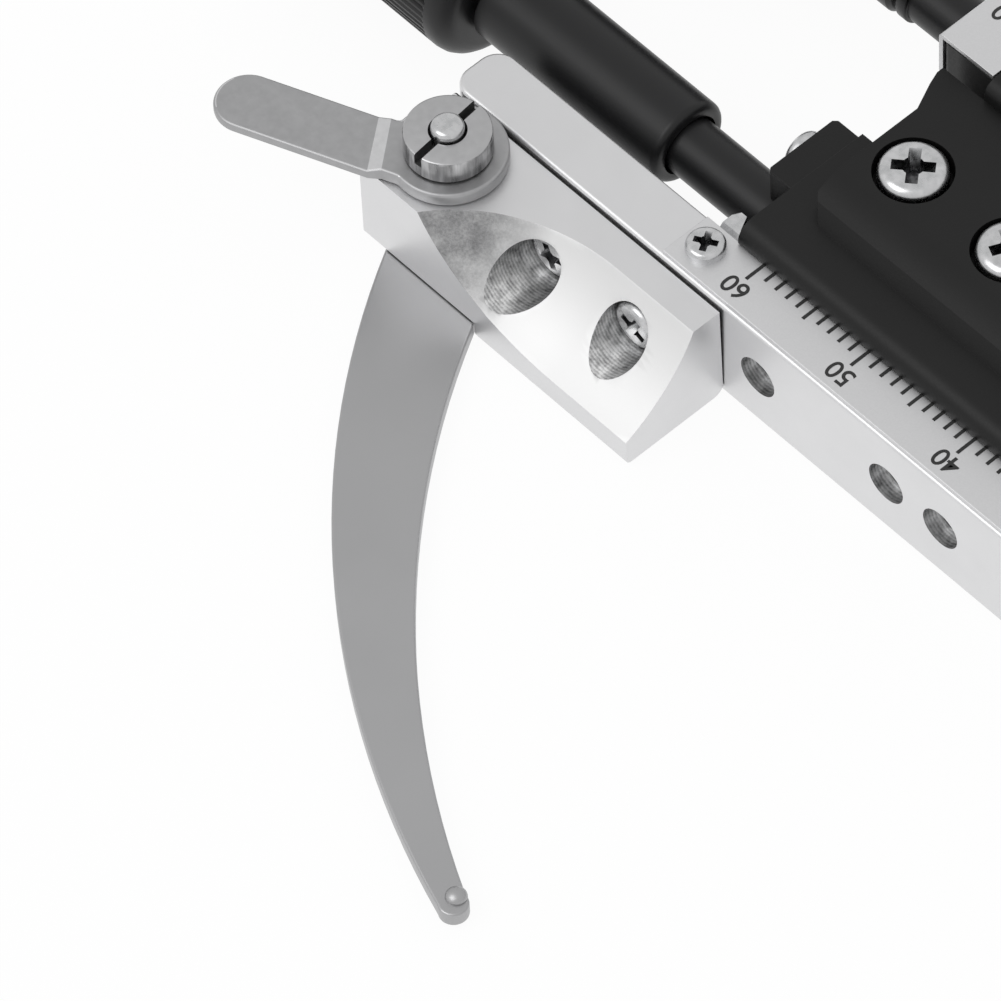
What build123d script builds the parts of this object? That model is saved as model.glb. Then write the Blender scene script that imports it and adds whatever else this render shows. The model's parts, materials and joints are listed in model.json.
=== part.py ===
from build123d import *
import math
import os

# Mechanical stage of a microscope: it bolts to the flat stage, holds a glass slide between two jaws
# and moves it in X and Y by two knobs. Millimetres.
# While it is drawn, x = 0 is the scale's 60 line, y = 0 the scale plate's rear edge and z = 0 the
# surface of the microscope's stage. +X runs along the bar to the knobs, +Y to the slide.
# At the end all is moved so that the origin is the centre of the mounting bolts.

# Fits
RUN = 0.05                    # running clearance of guides and shafts
PUSH = 0.03                   # clearance round a fixed screw or pin
GAP = 0.3                     # air between parts that pass each other

# X bar
BAR_LEFT, BAR_RIGHT = 26.35, -95.0
BAR_BACK, BAR_FRONT = -0.2, 4.3
BAR_BOTTOM, BAR_TOP = 0.4, 9.5
BAR_END_R = 1.6
BAR_EDGE = 0.3

# X scale plate and its screws
SCALE_T = 0.4
SCALE_FRONT = 4.1
SCALE_LEFT, SCALE_RIGHT = 5.6, -65.6
SCALE_SCREW_X = (3.73, -63.7)
SCALE_SCREW_Y = 1.92
SCALE_HEAD_R, SCALE_HEAD_H = 1.35, 0.75
SCALE_SHANK_R, SCALE_SHANK_L = 0.7, 3.0

# Drives: both shafts lie along X at one height
DRIVE_Z = 6.5
X_AXIS_Y = -5.1
Y_AXIS_Y = -25.7
SHAFT_R = 1.25
BACKLASH = 0.10
X_TEETH, Y_TEETH = 9, 12
NORMAL_MODULE = 0.5
HELIX = 45.0
X_ANGLE = 27.2                # pressure angle of the helical pair, across the axis
Y_ANGLE = 25.0
X_R = NORMAL_MODULE * X_TEETH / (2 * math.cos(math.radians(HELIX)))
Y_R = NORMAL_MODULE * Y_TEETH / 2
ADDENDUM, DEDENDUM = 0.5, 0.6
X_FACE, Y_FACE = 6.0, 4.6     # face widths of the pinions
Y_PINION_X = -14.0

# Dovetail rail with the slanted rack, on the back of the bar
RAIL_LEFT, RAIL_RIGHT = 5.2, -88.0
RAIL_MID_Z = 6.1
RAIL_WIDE, RAIL_NECK = 2.7, 1.9
RAIL_FLANK = 0.8
RAIL_SCREW_X = (-3.65, -15.9, -21.0, -46.0, -71.0)
RAIL_SCREW_Z = 4.9
RAIL_HEAD_R, RAIL_HEAD_H = 1.5, 1.3
RAIL_HOLE_R = 1.6
RAIL_SEAT_Y = 1.6
RAIL_SHANK_R = 0.65
RAIL_SHANK_L = 3.1

# X carriage
BODY_LEFT, BODY_RIGHT = 2.5, -62.5
BODY_REAR = -17.8
BODY_BOTTOM = 0.5
SHELF_Z = 11.6
LIP_Y, LIP_Z = 0.16, 10.0
LIP_W, LIP_R = 4.0, 1.4
STEP_Y = -11.3                # behind it the left face is set in
STEP_X = 0.2
FLARE_X, FLARE_Y = 1.5, -14.15
BLOCK_FOOT_Y, BLOCK_EDGE_Y, BLOCK_TOP_Y = -3.7, -4.5, -6.9
BLOCK_EDGE_Z, BLOCK_Z = 12.9, 13.9
BLOCK_LEFT, BLOCK_RIGHT = 0.2, -60.2
BLOCK_R = 1.3
COVER_SCREW_X = (-3.4, -12.7, -22.0)
COVER_SCREW_Y = -10.3
PAN_R, PAN_H = 2.25, 1.5
COUNTERBORE_R = 2.8
COVER_SEAT_Z = 12.2
M25_R = 1.2
COVER_SHANK_L = 2.9

# Stops of the X travel
X_PLUS, X_MINUS = 2.5, -48.0
STOP_R, STOP_Z, STOP_L = 1.0, 1.9, 2.0
STOP_SLOT_Y, STOP_SLOT_Z = -2.5, 3.0
STOP_WALL = 1.5

# Tubes, shafts and knobs
TUBE_R, TUBE_BORE = 2.15, 1.3
X_TUBE_LEFT, X_TUBE_RIGHT = 14.0, -14.0
X_SLEEVE_R, X_SLEEVE_NEAR, X_SLEEVE_FAR = 3.25, 8.0, 31.0
X_KNOB_NEAR, X_KNOB_L = 32.0, 18.0
Y_TUBE_R = 2.1
Y_TUBE_LEFT, Y_TUBE_RIGHT = 11.9, -9.0
Y_COLLAR_R, Y_COLLAR_L = 2.35, 0.9
Y_SLEEVE_R, Y_SLEEVE_NEAR, Y_SLEEVE_FAR = 2.5, 12.4, 21.0
Y_KNOB_NEAR, Y_KNOB_L = 22.0, 18.0
KNOB_R = 5.7
KNOB_ROUND = 1.5
SLEEVE_LIP = 0.3
FLUTES, FLUTE_DEPTH = 36, 0.35
KNOB_HUB_R = 2.4
KNOB_RECESS_R, KNOB_RECESS = 3.6, 1.2
END_SCREW_R, END_SCREW_H = 2.2, 1.1
SCREW_CORE_R, SCREW_CORE_L = 0.75, 5.0
SLOT_W, SLOT_D = 0.7, 0.6
POCKET = 0.25                 # air round a pinion
BUSH_BORE = SHAFT_R + RUN
X_BUSH_L, Y_BUSH_L, Y_BUSH_R = 6.0, 5.5, 2.6
X_PINION_X = BODY_RIGHT + X_BUSH_L + GAP + X_FACE / 2
SHAFT_PASS_R = 1.6

# Keeper of the X tube
KEEPER_T = 2.3
KEEPER_FRONT, KEEPER_REAR = -4.7, -11.0
KEEPER_BOTTOM, KEEPER_TOP = 2.2, 11.5
KEEPER_SCREW_Y, KEEPER_SCREW_Z = -8.7, 8.0
KEEPER_HEAD_R, KEEPER_HEAD_H = 1.6, 1.2
KEEPER_SHANK_R, KEEPER_SHANK_L = 0.9, 5.0

# X vernier
XV_LEFT, XV_RIGHT = -36.3, -49.7
XV_REAR, XV_FRONT, XV_T = -3.0, 0.3, 0.5
XV_SCREW_X = (-37.4, -48.6)
XV_SCREW_Y = -2.1
SMALL_HEAD_R, SMALL_HEAD_H, SMALL_CORE_R, SMALL_CORE_L = 0.75, 0.5, 0.4, 1.0

# Base and cross slide
BASE_LEFT, BASE_RIGHT = 2.5, -30.5
BASE_FRONT, BASE_REAR = -18.7, -60.7
BASE_TOP = 15.15
SLIDE_LEFT, SLIDE_RIGHT = -2.4, -24.6
SLIDE_TOP = 15.55
SLIDE_REAR = -66.0
SLIDE_BOTTOM, DOVETAIL_TOP = 9.9, 12.4
DOVETAIL_FLANK = 1.5
SIDE_GAP = 0.12
GIB_T = 0.8
TONGUE_LEFT, TONGUE_RIGHT = -1.0, -29.0
TONGUE_FRONT = -6.5
TONGUE_BOTTOM, TONGUE_TOP = 8.9, 11.3
RACK_W, RACK_T = 5.0, 1.2
RACK_FRONT, RACK_REAR = -20.4, -60.4
RACK_SCREW_Y = (-33.0, -55.0)
RACK_HEAD_H = 0.7
RACK_SCREW_SKIN = 1.4         # left above the tapped holes
CHANNEL_FLOOR = 8.7
Y_PLUS = 30.0
Y_STOP_X, Y_STOP_Y, Y_STOP_R = -21.0, -20.9, 1.0
Y_STOP_DEPTH = 3.0            # of the pin in the base
Y_STOP_SLOT_TOP = 11.5
GIB_SCREW_Y = (-26.0, -39.7, -53.0)
GIB_SCREW_Z = 11.15
GIB_SCREW_R = 1.2

# Y scale plate and Y vernier
YS_T = 0.4
YS_NEAR = -18.75
YS_RIGHT = -2.27
YS_FLANGE_BOTTOM = 11.62
YS_SCREW_Y = (-36.0, -57.5)
YS_SCREW_X = 0.3
YV_WIDE = 4.5
YV_NEAR, YV_FAR = -42.3, -54.6
YV_SCREW_Y = (-43.4, -53.5)

# Mounting bolts
BOLT_SPAN = 20.0
BOLT_R, BOLT_DEPTH = 1.65, 6.5

# Left jaw block with the objective scoop
JAW_LEFT, JAW_RIGHT = 27.0, -0.3
JAW_FRONT, JAW_BOTTOM, JAW_TOP = 13.2, 0.2, 9.0
JAW_CORNER = 0.8
SCOOP_X, SCOOP_Y, SCOOP_Z = 5.0, 13.5, 9.9
SCOOP_LONG, SCOOP_R = 14.6, 7.0
JAW_HOLES = ((12.8, 5.9), (5.0, 5.2))
JAW_HOLE_R, JAW_SEAT_Y = 1.85, 6.6
JAW_HEAD_R, JAW_HEAD_H = 1.65, 1.2
JAW_CORE_R, JAW_CORE_L = 1.0, 5.2
STUD_X, STUD_Y = 21.7, 8.6
SPRING_BORE_R, SPRING_BORE_TOP = 2.9, 7.2
STUD_R = 1.5
FINGER_ROOM_TOP, FINGER_ROOM_X = 1.75, 14.6

# Finger, lever and cap nut
FINGER_BOTTOM, FINGER_T = 0.4, 1.2
HUB_R = 4.2
LEVER_BOTTOM, LEVER_T = 9.1, 0.85
LEVER_HUB_R, LEVER_W = 3.7, 5.2
LEVER_RISE = 0.7
LEVER_BEND = 0.4
LEVER_HEADING, LEVER_REACH = 26.0, 13.0
CAP_R, CAP_H = 3.0, 1.9
TIP_R, TIP_PROUD = 1.05, 0.75
SPRING_R, SPRING_WIRE, SPRING_PITCH, SPRING_TURNS = 2.2, 0.28, 1.3, 3

# Fixed jaw at the far end
FIXED_LEFT, FIXED_RIGHT = -76.6, -93.0
FIXED_FINGER_END = 30.0
FIXED_SCREW_X = (-81.0, -89.0)
FIXED_HOLE_Z = 4.6
FIXED_SLOPE = 4.0
FIXED_HOOK = 1.6
FIXED_TIP_W, FIXED_ROOT_W, FIXED_FLARE = 3.0, 7.5, 4.0
FIXED_PIN_X = (-80.0, -89.5)
FIXED_PIN_Y, FIXED_PIN_L = 9.0, 1.6

PHILLIPS_W, PHILLIPS_D = 0.75, 0.6
HOME = Location((-(BASE_LEFT + BASE_RIGHT) / 2, -(BASE_FRONT + BASE_REAR) / 2, 0))


def block(x0, x1, y0, y1, z0, z1):
    """A box between two corners."""
    size = (abs(x1 - x0), abs(y1 - y0), abs(z1 - z0))
    return Pos((x0 + x1) / 2, (y0 + y1) / 2, (z0 + z1) / 2) * Box(*size)


def rod_x(r, x0, x1, y, z):
    """A round bar along X from x0 to x1."""
    return Pos((x0 + x1) / 2, y, z) * Rot(0, 90, 0) * Cylinder(r, abs(x1 - x0))


def rod_y(r, y0, y1, x, z):
    """A round bar along Y from y0 to y1."""
    return Pos(x, (y0 + y1) / 2, z) * Rot(90, 0, 0) * Cylinder(r, abs(y1 - y0))


def rod_z(r, z0, z1, x, y):
    """A round bar along Z from z0 to z1."""
    return Pos(x, y, (z0 + z1) / 2) * Cylinder(r, abs(z1 - z0))


def prism_x(points, x0, x1):
    """A profile of (y, z) points, drawn out along X."""
    face = make_face(Polyline([(x0, y, z) for y, z in points], close=True))
    return extrude(face, amount=abs(x1 - x0), dir=(1 if x1 > x0 else -1, 0, 0))


def prism_y(points, y0, y1):
    """A profile of (x, z) points, drawn out along Y."""
    face = make_face(Polyline([(x, y0, z) for x, z in points], close=True))
    return extrude(face, amount=abs(y1 - y0), dir=(0, 1 if y1 > y0 else -1, 0))


def prism_z(points, z0, z1):
    """A profile of (x, y) points, drawn up along Z."""
    face = make_face(Polyline([(x, y, z0) for x, y in points], close=True))
    return extrude(face, amount=z1 - z0, dir=(0, 0, 1))


def edges_along(part, axis, x=None, y=None, z=None):
    """Straight edges of one direction, at the places that are given."""
    found = part.edges().filter_by(GeomType.LINE).filter_by(axis)
    for name, value in (("X", x), ("Y", y), ("Z", z)):
        if value is not None:
            found = [e for e in found if abs(getattr(e.center(), name) - value) < 0.01]
    return found


def pan_screw(head_r, head_h, core_r, core_l, cross=PHILLIPS_W):
    """Cross-recess screw with its seat at z = 0 and its head upwards."""
    head = Cylinder(head_r, head_h, align=(Align.CENTER, Align.CENTER, Align.MIN))
    rim = head.edges().filter_by(GeomType.CIRCLE).sort_by(Axis.Z)[-1]
    head = chamfer(rim, head_h * 0.4, head_h * 0.6)
    depth = min(PHILLIPS_D, head_h * 0.6)
    arm = Box(head_r * 1.15, cross, depth) + Box(cross, head_r * 1.15, depth)
    head -= Pos(0, 0, head_h - depth / 2) * Rot(0, 0, 20) * arm
    core = Cylinder(core_r, core_l, align=(Align.CENTER, Align.CENTER, Align.MAX))
    return head + core


def slotted_screw(head_r, head_h, core_r, core_l):
    """Slotted cheese-head screw with its seat at z = 0."""
    head = Cylinder(head_r, head_h, align=(Align.CENTER, Align.CENTER, Align.MIN))
    head -= Pos(0, 0, head_h - SLOT_D / 2) * Box(2 * head_r, SLOT_W, SLOT_D)
    return head + Cylinder(core_r, core_l, align=(Align.CENTER, Align.CENTER, Align.MAX))


def involute(angle):
    """The angle between a base radius and the involute point of a pressure angle."""
    return math.tan(angle) - angle


def gear_face(teeth, pitch_r, pressure):
    """Involute gear outline round the origin; a tooth gap points along +X."""
    alpha = math.radians(pressure)
    base_r = pitch_r * math.cos(alpha)
    root_r, tip_r = pitch_r - DEDENDUM, pitch_r + ADDENDUM
    half_tooth = (math.pi * pitch_r / teeth - BACKLASH) / 2 / pitch_r
    flank = []
    for r in (root_r, pitch_r, tip_r):
        at = math.acos(min(1, base_r / r))
        flank.append((r, half_tooth + involute(alpha) - involute(at)))
    outline = []
    for k in range(teeth):
        mid = (k + 0.5) * 2 * math.pi / teeth
        for r, a in flank:
            outline.append((r * math.cos(mid - a), r * math.sin(mid - a)))
        for r, a in reversed(flank):
            outline.append((r * math.cos(mid + a), r * math.sin(mid + a)))
    return make_face(Polyline(outline, close=True))


def rack_profile(pitch, pressure, start, count):
    """Rack outline as (along, height) points; height 0 is the pitch line, teeth point to -height."""
    slope = math.tan(math.radians(pressure))
    half = (pitch / 2 - BACKLASH) / 2
    tip, root = half - ADDENDUM * slope, half + DEDENDUM * slope
    points = []
    for k in range(count):
        mid = start + k * pitch
        points += [(mid - root, DEDENDUM), (mid - tip, -ADDENDUM)]
        points += [(mid + tip, -ADDENDUM), (mid + root, DEDENDUM)]
    return points


def knob(near, length, axis_y):
    """Knob with a straight-knurled band, rounded shoulders, a recess in its end and a bore for the shaft."""
    half, core = length / 2, KNOB_R - FLUTE_DEPTH
    shoulder = [(half - KNOB_ROUND, core), (half - 0.4 * KNOB_ROUND, core - 0.25 * KNOB_ROUND),
                (half, core - KNOB_ROUND)]
    rim = shoulder + [(half, 0), (-half, 0)] + [(-x, r) for x, r in reversed(shoulder)]
    body = revolve(make_face(Polyline(rim, close=True)), Axis.X)
    ridges = []
    for k in range(2 * FLUTES):
        r = KNOB_R if k % 2 else core
        turn = math.pi * k / FLUTES
        ridges.append((r * math.cos(turn), r * math.sin(turn)))
    body += prism_x(ridges, KNOB_ROUND - half, half - KNOB_ROUND)
    body = Pos(near + half, axis_y, DRIVE_Z) * body
    body -= rod_x(KNOB_RECESS_R, near + length - KNOB_RECESS, near + length, axis_y, DRIVE_Z)
    return body - rod_x(SHAFT_R, near, near + length, axis_y, DRIVE_Z)


def knob_screw(near, length, axis_y):
    """Slotted screw that holds the knob on the shaft's end."""
    screw = slotted_screw(END_SCREW_R, END_SCREW_H, SCREW_CORE_R, SCREW_CORE_L)
    return Pos(near + length - KNOB_RECESS, axis_y, DRIVE_Z) * Rot(0, 90, 0) * screw


def shaft(right, near, length, axis_y):
    """Steel shaft with a tapped end under the knob's screw."""
    left = near + length - KNOB_RECESS
    body = rod_x(SHAFT_R, right, left, axis_y, DRIVE_Z)
    return body - rod_x(SCREW_CORE_R + PUSH, left - SCREW_CORE_L - GAP, left, axis_y, DRIVE_Z)


def sleeve(radius, near, far, tube_r, tube_end, knob_near, axis_y):
    """Sleeve that turns with the knob round the fixed tube, with a neck at the knob."""
    body = rod_x(radius, near, far, axis_y, DRIVE_Z)
    rim = body.edges().filter_by(GeomType.CIRCLE).sort_by(Axis.X)[0]
    body = chamfer(rim, SLEEVE_LIP)
    body += rod_x(KNOB_HUB_R, far - 1.0, knob_near, axis_y, DRIVE_Z)
    if tube_end > near:
        body -= rod_x(tube_r + 2 * RUN, near, tube_end + GAP, axis_y, DRIVE_Z)
    return body - rod_x(SHAFT_R, near, knob_near, axis_y, DRIVE_Z)


parts = {}

# X bar, with its counterbored holes for the rail's screws
bar = block(BAR_LEFT, BAR_RIGHT, BAR_BACK, BAR_FRONT, BAR_BOTTOM, BAR_TOP)
bar = fillet(edges_along(bar, Axis.Z, x=BAR_LEFT), BAR_END_R)
bar = chamfer(edges_along(bar, Axis.Z, x=BAR_RIGHT), BAR_EDGE)
bar = fillet(edges_along(bar, Axis.X, y=BAR_FRONT, z=BAR_TOP), BAR_EDGE)
for x in RAIL_SCREW_X:
    bar -= rod_y(RAIL_HOLE_R, RAIL_SEAT_Y, BAR_FRONT + 1, x, RAIL_SCREW_Z)
    bar -= rod_y(RAIL_SHANK_R + PUSH, BAR_BACK - 1, RAIL_SEAT_Y, x, RAIL_SCREW_Z)
for x, z in JAW_HOLES:
    bar -= rod_y(JAW_CORE_R + PUSH, JAW_SEAT_Y - JAW_CORE_L - GAP, BAR_FRONT, x, z)
for x in FIXED_SCREW_X:
    bar -= rod_y(JAW_CORE_R + PUSH, JAW_SEAT_Y - JAW_CORE_L - GAP, BAR_FRONT, x, FIXED_HOLE_Z)
for x in SCALE_SCREW_X:
    bar -= rod_z(SCALE_SHANK_R + PUSH, BAR_TOP - SCALE_SHANK_L, BAR_TOP, x, SCALE_SCREW_Y)
STOP_PIN_X = (BODY_RIGHT - X_PLUS - STOP_R, BODY_RIGHT + STOP_WALL - X_MINUS + STOP_R)
for x in STOP_PIN_X:
    bar -= rod_y(STOP_R, BAR_BACK, BAR_BACK + STOP_L, x, STOP_Z)
parts["x_bar"] = bar

# Travel stop pins, pressed into the back of the bar
pins = [rod_y(STOP_R, BAR_BACK - STOP_L, BAR_BACK + STOP_L, x, STOP_Z) for x in STOP_PIN_X]
parts["x_stop_pins"] = Part() + pins

# Dovetail rail: its back carries the slanted rack
PITCH_Y = X_AXIS_Y + X_R
ROOT_Y = PITCH_Y + DEDENDUM
RAIL_LOW, RAIL_HIGH = RAIL_MID_Z - RAIL_WIDE, RAIL_MID_Z + RAIL_WIDE


def rail_profile(grow):
    """Dovetail outline in (y, z), grown all round by a clearance."""
    flank = BAR_BACK - RAIL_FLANK
    wide, neck = RAIL_WIDE + grow, RAIL_NECK + grow
    return [(BAR_BACK, RAIL_MID_Z - neck), (flank, RAIL_MID_Z - wide), (ROOT_Y, RAIL_MID_Z - wide),
            (ROOT_Y, RAIL_MID_Z + wide), (flank, RAIL_MID_Z + wide), (BAR_BACK, RAIL_MID_Z + neck)]


X_PITCH = 2 * math.pi * X_R / X_TEETH
rail = prism_x(rail_profile(0), RAIL_LEFT, RAIL_RIGHT)
tooth_count = int((RAIL_LEFT - RAIL_RIGHT) / X_PITCH) + 4
first = X_PINION_X - (DRIVE_Z - RAIL_LOW)
first -= math.ceil((first - RAIL_RIGHT + 2 * RAIL_WIDE) / X_PITCH) * X_PITCH
outline = rack_profile(X_PITCH, X_ANGLE, first, tooth_count)
teeth = []
for k in range(tooth_count):
    corners = [(x, PITCH_Y + h, RAIL_LOW) for x, h in outline[4 * k:4 * k + 4]]
    tooth = make_face(Polyline(corners, close=True))
    teeth.append(extrude(tooth, amount=2 * RAIL_WIDE * math.sqrt(2), dir=(1, 0, 1)))
teeth = Part() + teeth
rail += teeth & block(RAIL_LEFT, RAIL_RIGHT, ROOT_Y, PITCH_Y - ADDENDUM - 1, RAIL_LOW, RAIL_HIGH)
for x in RAIL_SCREW_X:
    rail -= rod_y(RAIL_SHANK_R + PUSH, RAIL_SEAT_Y - RAIL_SHANK_L, BAR_BACK, x, RAIL_SCREW_Z)
parts["x_rack_rail"] = rail

# Cap screws that hold the rail, deep in the bar's holes
screws = []
for x in RAIL_SCREW_X:
    screw = slotted_screw(RAIL_HEAD_R, RAIL_HEAD_H, RAIL_SHANK_R, RAIL_SHANK_L - GAP)
    screws.append(Pos(x, RAIL_SEAT_Y, RAIL_SCREW_Z) * Rot(-90, 0, 0) * screw)
parts["x_rail_screws"] = Part() + screws

# X scale plate, cut back round the screw at each end
plate = block(SCALE_LEFT, SCALE_RIGHT, 0, SCALE_FRONT, BAR_TOP, BAR_TOP + SCALE_T)
for x in SCALE_SCREW_X:
    plate -= rod_z(SCALE_SHANK_R + PUSH, BAR_TOP, BAR_TOP + SCALE_T, x, SCALE_SCREW_Y)
parts["x_scale_plate"] = plate
screws = []
for x in SCALE_SCREW_X:
    screw = pan_screw(SCALE_HEAD_R, SCALE_HEAD_H, SCALE_SHANK_R, SCALE_SHANK_L, 0.5)
    screws.append(Pos(x, SCALE_SCREW_Y, BAR_TOP + SCALE_T) * screw)
parts["x_scale_screws"] = Part() + screws

# Left jaw block: the scoop clears the objective, the room below lets the finger swing
jaw = block(JAW_LEFT, JAW_RIGHT, BAR_FRONT, JAW_FRONT, JAW_BOTTOM, JAW_TOP)
jaw = fillet(edges_along(jaw, Axis.Z, x=JAW_LEFT, y=JAW_FRONT), JAW_CORNER)
jaw = chamfer(edges_along(jaw, Axis.X, y=BAR_FRONT, z=JAW_TOP), 0.25)
half_oval = Ellipse(SCOOP_LONG, SCOOP_R) & Pos(0, SCOOP_R) * Rectangle(2 * SCOOP_LONG, 2 * SCOOP_R)
jaw -= Pos(SCOOP_X, SCOOP_Y, SCOOP_Z) * revolve(half_oval, Axis.X)
for x, z in JAW_HOLES:
    jaw -= rod_y(JAW_HOLE_R, JAW_SEAT_Y, JAW_FRONT + 1, x, z)
    jaw -= rod_y(JAW_CORE_R + PUSH, BAR_FRONT, JAW_SEAT_Y, x, z)
jaw -= rod_z(STUD_R + RUN, SPRING_BORE_TOP, JAW_TOP, STUD_X, STUD_Y)
jaw -= rod_z(SPRING_BORE_R, FINGER_ROOM_TOP, SPRING_BORE_TOP, STUD_X, STUD_Y)
jaw -= block(JAW_LEFT, FINGER_ROOM_X, BAR_FRONT, JAW_FRONT, JAW_BOTTOM, FINGER_ROOM_TOP)
parts["jaw_block"] = jaw


def jaw_screw(x, z):
    """Slotted screw that holds a jaw block to the bar's front."""
    screw = slotted_screw(JAW_HEAD_R, JAW_HEAD_H, JAW_CORE_R, JAW_CORE_L)
    return Pos(x, JAW_SEAT_Y, z) * Rot(-90, 0, 0) * screw


parts["jaw_block_screws"] = Part() + [jaw_screw(x, z) for x, z in JAW_HOLES]

# Sprung finger: two arcs from the hub to a round tip
INNER = ((14.66, 13.2), (-0.68, 32.5), (-18.97, 44.8))
OUTER = ((-18.4, 46.75), (10.4, 29.9), (23.5, 13.2))
TIP_MID = (-19.85, 46.35)
blade = make_face([ThreePointArc(*INNER), ThreePointArc(INNER[-1], TIP_MID, OUTER[0]),
                   ThreePointArc(*OUTER), Line(OUTER[-1], INNER[0])])
hub = Pos(STUD_X, STUD_Y) * Circle(HUB_R)
corners = [INNER[0], OUTER[-1], (STUD_X + HUB_R, STUD_Y), (STUD_X - HUB_R, STUD_Y)]
root = make_face(Polyline(corners, close=True))
finger = extrude(blade + hub + root, amount=FINGER_T)
finger = Pos(0, 0, FINGER_BOTTOM) * finger
finger -= rod_z(STUD_R - 0.3, 0, FINGER_BOTTOM + FINGER_T, STUD_X, STUD_Y)
parts["finger"] = finger

# Stud: riveted in the finger, it turns in the block and carries the lever and the cap nut
LEVER_TOP = LEVER_BOTTOM + LEVER_T
stud = rod_z(STUD_R - 0.3, FINGER_BOTTOM, FINGER_BOTTOM + FINGER_T, STUD_X, STUD_Y)
stud += rod_z(STUD_R, FINGER_BOTTOM + FINGER_T, LEVER_TOP, STUD_X, STUD_Y)
stud += rod_z(TIP_R, LEVER_TOP, LEVER_TOP + CAP_H + TIP_PROUD, STUD_X, STUD_Y)
stud = chamfer(stud.edges().filter_by(GeomType.CIRCLE).sort_by(Axis.Z)[-1], 0.3)
parts["pivot_stud"] = stud

# Thumb lever: pressed sheet with one low bend; its far edge runs off the hub's rim
lever = rod_z(LEVER_HUB_R, LEVER_BOTTOM, LEVER_TOP, STUD_X, STUD_Y)
reach, bend = LEVER_REACH, LEVER_HUB_R + LEVER_BEND
offset = LEVER_HUB_R - LEVER_W / 2
low = LEVER_BOTTOM
side = [(0, low), (bend, low), (bend + 1.2, low + LEVER_RISE), (reach, low + LEVER_RISE),
        (reach, low + LEVER_RISE + LEVER_T), (bend + 1.0, low + LEVER_RISE + LEVER_T),
        (bend - 0.2, low + LEVER_T), (0, low + LEVER_T)]
face = make_face(Polyline([(x, -LEVER_W / 2, z) for x, z in side], close=True))
arm = extrude(face, amount=LEVER_W, dir=(0, 1, 0))
arm += rod_z(LEVER_W / 2, low + LEVER_RISE, low + LEVER_RISE + LEVER_T, reach, 0)
lever += Pos(STUD_X, STUD_Y, 0) * Rot(0, 0, LEVER_HEADING) * Pos(0, offset, 0) * arm
lever -= rod_z(STUD_R, LEVER_BOTTOM, LEVER_TOP, STUD_X, STUD_Y)
parts["finger_lever"] = lever

# Cap nut with a screwdriver slot
cap = rod_z(CAP_R, LEVER_TOP, LEVER_TOP + CAP_H, STUD_X, STUD_Y)
cap = chamfer(cap.edges().filter_by(GeomType.CIRCLE).sort_by(Axis.Z)[-1], 0.2)
cap -= Pos(STUD_X, STUD_Y, LEVER_TOP + CAP_H - SLOT_D / 2) * Box(SLOT_W, 2 * CAP_R, SLOT_D)
cap -= rod_z(TIP_R, LEVER_TOP, LEVER_TOP + CAP_H, STUD_X, STUD_Y)
parts["cap_nut"] = cap

# Torsion spring round the stud
coil_z = FINGER_BOTTOM + FINGER_T + 0.6
helix = Helix(SPRING_PITCH, SPRING_PITCH * SPRING_TURNS, SPRING_R, center=(STUD_X, STUD_Y, coil_z))
wire = Plane(helix @ 0, z_dir=helix % 0) * RegularPolygon(SPRING_WIRE, 6)
parts["torsion_spring"] = sweep(wire, path=helix)

# Fixed jaw at the other end of the bar, with its own straight finger
slope = [(JAW_FRONT, JAW_TOP - FIXED_SLOPE), (JAW_FRONT - FIXED_SLOPE, JAW_TOP), (JAW_FRONT, JAW_TOP)]
fixed = block(FIXED_LEFT, FIXED_RIGHT, BAR_FRONT, JAW_FRONT, JAW_BOTTOM, JAW_TOP)
fixed = fillet(edges_along(fixed, Axis.Z, x=FIXED_RIGHT, y=JAW_FRONT), JAW_CORNER)
fixed -= prism_x(slope, FIXED_LEFT, FIXED_RIGHT)
for x in FIXED_SCREW_X:
    fixed -= rod_y(JAW_HOLE_R, JAW_SEAT_Y, JAW_FRONT + 1, x, FIXED_HOLE_Z)
    fixed -= rod_y(JAW_CORE_R + PUSH, BAR_FRONT, JAW_SEAT_Y, x, FIXED_HOLE_Z)
fixed -= block(FIXED_LEFT, FIXED_RIGHT, BAR_FRONT + GAP, JAW_FRONT, JAW_BOTTOM, FINGER_ROOM_TOP)
for x in FIXED_PIN_X:
    fixed -= rod_z(SCALE_SHANK_R + PUSH, FINGER_ROOM_TOP, FINGER_ROOM_TOP + FIXED_PIN_L, x, FIXED_PIN_Y)
parts["fixed_jaw_block"] = fixed
parts["fixed_jaw_screws"] = Part() + [jaw_screw(x, FIXED_HOLE_Z) for x in FIXED_SCREW_X]

# Its finger is a flat strip that ends in a short hook over the slide's corner
hook_end = FIXED_FINGER_END + FIXED_HOOK
strip = [(FIXED_LEFT, BAR_FRONT + GAP), (FIXED_LEFT, FIXED_FINGER_END),
         (FIXED_LEFT + FIXED_HOOK, FIXED_FINGER_END), (FIXED_LEFT + FIXED_HOOK, hook_end),
         (FIXED_LEFT - FIXED_TIP_W, hook_end),
         (FIXED_LEFT - FIXED_ROOT_W, JAW_FRONT + FIXED_FLARE), (FIXED_RIGHT + JAW_CORNER, JAW_FRONT),
         (FIXED_RIGHT + JAW_CORNER, BAR_FRONT + GAP)]
strip = prism_z(strip, FINGER_BOTTOM, FINGER_ROOM_TOP)
for x in FIXED_PIN_X:
    strip -= rod_z(SCALE_SHANK_R + PUSH, FINGER_BOTTOM, FINGER_ROOM_TOP, x, FIXED_PIN_Y)
parts["fixed_finger"] = strip
pin_top = FINGER_ROOM_TOP + FIXED_PIN_L - GAP
pins = [rod_z(SCALE_SHANK_R, FINGER_BOTTOM, pin_top, x, FIXED_PIN_Y) for x in FIXED_PIN_X]
parts["fixed_finger_pins"] = Part() + pins

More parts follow.
